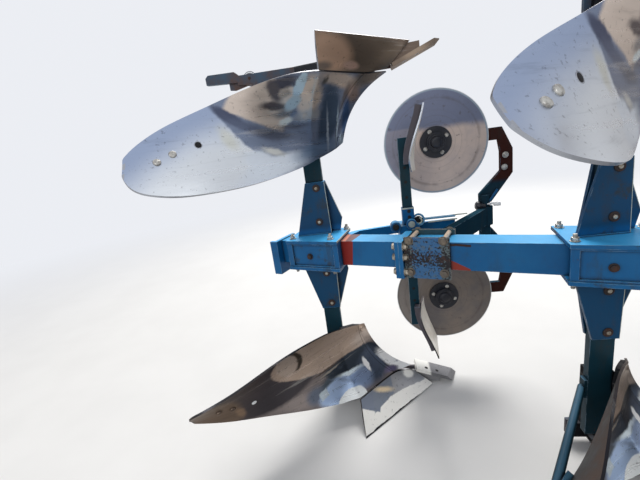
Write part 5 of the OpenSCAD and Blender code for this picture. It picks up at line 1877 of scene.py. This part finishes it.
@dataclass
class Headstock(Assembly):
    """Linch pins of the link pins, and the bolts that hold the side plates to the bearing."""

    link_x: float = 0.500
    link_z: float = 0.495
    pin_end: float = 0.4875
    turn_y: float = 0.200
    bearing: Spot = (0.060, 0.320)
    tower: float = 0.141
    side_bolts: Spot = (-0.080, -0.028, 0.028, 0.080)

    def build(self) -> None:
        """Adds the headstock's small pieces."""
        lay = self.layout
        pins, rings, sides = (Solid() for _ in range(3))
        for end in (-1, 1):
            at = lay.body(2, self.link_x, self.turn_y + end * (self.pin_end - 0.016), self.link_z)
            pins.cone(facing(at - Vector((0, 0, 0.022)), (0, 0, 1)), 0.0045, 0.0045, 0.052, 16, 0.001)
            rings.ring(facing(at + Vector((0, 0, 0.006)), (0.2, end * 0.3, 0.93)), 0.0205, 0.0022)
            for x in (self.bearing[0] + 0.008, self.bearing[1] - 0.008):
                for up in self.side_bolts:
                    face = lay.body(2, x, self.turn_y + end * self.tower, lay.height + up)
                    Bolt(0.012).head(sides, facing(face, (0, end, 0), up * 30))
        self.finish(pins, "linch_pins", Look.ZINC, Body.HEADSTOCK)
        self.finish(rings, "linch_rings", Look.BRIGHT, Body.HEADSTOCK)
        self.finish(sides, "tower_bolts", Look.ZINC, Body.HEADSTOCK)


@dataclass
class ParkingStand(Assembly):
    """Locking pin with its handle, and the holes down the leg as flat dark discs: painted shade."""

    x: float = 0.220
    y: float = 0.023
    half: float = 0.025
    guide: float = 0.036
    pin_height: float = 0.630
    hole_heights: Spot = (0.16, 0.26, 0.36, 0.46)
    handle: Spots = ((0, -0.010, 0), (0, -0.024, 0), (0, -0.032, -0.008), (0, -0.034, -0.070))

    def build(self) -> None:
        """Adds the stand's small pieces."""
        lay = self.layout
        pin, holes = Solid(), Solid()
        face = lay.body(2, self.x, self.y - self.guide, self.pin_height)
        pin.cone(facing(face, (0, -1, 0)), 0.010, 0.010, 0.012, 24, 0.001)
        pin.bar([face + Vector(point) for point in self.handle], 0.0055, 12)
        for z in self.hole_heights:
            spot = lay.body(2, self.x, self.y - self.half, z)
            holes.lathe(facing(spot, (0, -1, 0)), [(0.0105, -0.001), (0.0105, 0.00012), (0.0, 0.00012)], 28)
        self.finish(pin, "stand_pin", Look.ZINC, Body.HEADSTOCK)
        self.finish(holes, "stand_hole_shades", Look.HOLE, Body.STAND)


@dataclass
class TurnoverCylinder(Assembly):
    """Capped couplings on the oil ports, and the steel pipe along the barrel."""

    x: float = 0.3875
    y: float = 0.200
    rise: float = 0.500
    swing: float = math.atan(0.2)
    port: float = 0.048
    banjo: float = 0.011
    clamp: float = 0.206
    lines: tuple[tuple[float, Spot, float], ...] = ((0.060, (0.8, 0.0, -0.6), 0.006),
                                                    (0.270, (0.0, 0.0, 1.0), 0.120))

    def turned(self, way: Sequence[float]) -> Vector:
        """Returns a direction that leans with the barrel."""
        return Matrix.Rotation(self.swing, 3, "X") @ Vector(way)

    def at(self, out: float, down: float) -> Vector:
        """Returns a point out from the barrel's axis on its near side, and down from its pivot."""
        pivot = self.layout.body(2, self.x, self.y, self.layout.height + self.rise)
        return pivot + self.turned((0, -out, -down))

    def build(self) -> None:
        """Adds the cylinder's small pieces."""
        fitting, pipe, cap = (Solid() for _ in range(3))
        side, up = self.turned((0, -1, 0)), self.turned((0, 0, 1))
        for down, way, length in self.lines:
            fitting.cone(facing(self.at(self.port, down), side), 0.0135, 0.0135, self.banjo, 28, 0.001)
            nut = facing(self.at(self.port + self.banjo, down), side)
            fitting.cone(nut, 0.0100, 0.0100, 0.0045, 6, 0.0008)
            along = self.turned(way)
            start = self.at(self.port + self.banjo / 2, down) + 0.012 * along
            coupling = start + length * along
            pipe.bar([start, coupling], 0.0050, 16)
            fitting.cone(facing(coupling, along), 0.0100, 0.0100, 0.016, 6, 0.0008)
            cap.cone(facing(coupling + 0.016 * along, along), 0.0088, 0.0078, 0.012, 24, 0.001)
        fitting.lathe(facing(self.at(0, self.clamp), up), [(0.0315, 0.0), (0.0335, 0.0), (0.0335, 0.012),
                                                           (0.0315, 0.012)], 40, closed=True)
        fitting.box(facing(self.at(0.043, self.clamp - 0.006), up), (0.014, 0.026, 0.012), 0.0015)
        self.finish(fitting, "oil_fittings", Look.ZINC, Body.BARREL)
        self.finish(pipe, "oil_pipe", Look.MACHINED, Body.BARREL)
        self.finish(cap, "oil_caps", Look.RUBBER, Body.BARREL)


@dataclass
class Landsides(Assembly):
    """Bolts of the landsides, and the worn ring and bolts at the rear heel's boss."""

    land_y: float = -0.015
    near_y: float = -0.029
    bolts: Spot = (-0.600, -0.330)
    bolt_height: float = 0.066
    boss: Spot = (-0.857, 0.003, 0.041)

    def spot(self, number: int, up: int, x: float, y: float, depth: float) -> Vector:
        """Returns a point of a lower body, by its depth from the ground, or its mirror image above."""
        return self.layout.body(number, x, y, self.layout.height + up * (self.layout.height - depth))

    def build(self) -> None:
        """Adds the pieces of all landsides."""
        for number, place in enumerate(PLACES):
            heads, ring = Solid(), Solid()
            for up in (-1, 1):
                for x in self.bolts:
                    spot = self.spot(number, up, x, self.land_y, self.bolt_height)
                    Bolt(0.012).flush(heads, facing(spot, (0, 1, 0)))
                if number == 0:
                    x, y, depth = self.boss
                    middle = self.spot(0, up, x, self.land_y - 0.001, depth)
                    ring.ring(facing(middle, (0, -1, 0)), 0.0255, 0.0040)
                    near = self.spot(0, up, x, self.near_y + 0.012, depth)
                    Bolt(0.012).nut(heads, facing(near, (0, -1, 0)), 0.4)
                    Bolt(0.014).head(heads, facing(self.spot(0, up, x, y, depth), (0, 1, 0)))
            self.finish(heads, "landside_bolts_" + place, Look.RUSTY)
            if number == 0:
                self.finish(ring, "heel_ring", Look.PALE)


@dataclass
class DepthWheel(Assembly):
    """Tread and nuts of the depth wheel."""

    lugs: int = 30
    lug: Spot = (0.016, 0.050, 0.009)
    sunk: float = 0.0056
    apart: float = 0.16
    nuts: int = 6
    nut_ring: float = 0.057
    nut_depth: float = 0.052

    def build(self) -> None:
        """Adds the wheel's small pieces."""
        low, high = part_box("wheel_tyre")
        rim_low, rim_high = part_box("wheel_rim")
        LOG.info("rim from %.3f to %.3f", rim_low.y, rim_high.y)
        centre = (low + high) / 2
        radius, width = (high.x - low.x) / 2, high.y - low.y
        tread, nuts = Solid(), Solid()
        for number in range(self.lugs):
            for side in (-1, 1):
                angle = (number + 0.25 * side) * math.tau / self.lugs
                out = Vector((math.cos(angle), 0, math.sin(angle)))
                at = centre + out * (radius - self.sunk) + Vector((0, side * width * self.apart, 0))
                tread.box(facing(at, out) @ Matrix.Rotation(side * 0.5, 4, "Z"), self.lug, 0.0015)
        for angle in spokes(self.nuts):
            out = Vector((math.cos(angle), 0, math.sin(angle))) * self.nut_ring
            seat = Vector((centre.x, low.y + self.nut_depth, centre.z)) + out
            Bolt(0.014).nut(nuts, facing(seat, (0, -1, 0), angle))
        self.finish(tread, "tyre_tread", Look.RUBBER, Body.WHEEL)
        self.finish(nuts, "wheel_nuts", Look.ZINC, Body.WHEEL)


def main() -> None:
    """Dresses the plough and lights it."""
    logging.basicConfig(level=logging.INFO, format="%(message)s")
    layout = Layout.from_frame()
    wardrobe = Wardrobe(layout)
    for group in (Carried, Sheets, BodyBolts, FlangedJoint, Consoles, Skimmers, Coulters, SwingGear,
                  Headstock, ParkingStand, TurnoverCylinder, DepthWheel, Landsides):
        group(layout, wardrobe).build()
    Studio(layout).build()


if __name__ == "__main__":
    main()
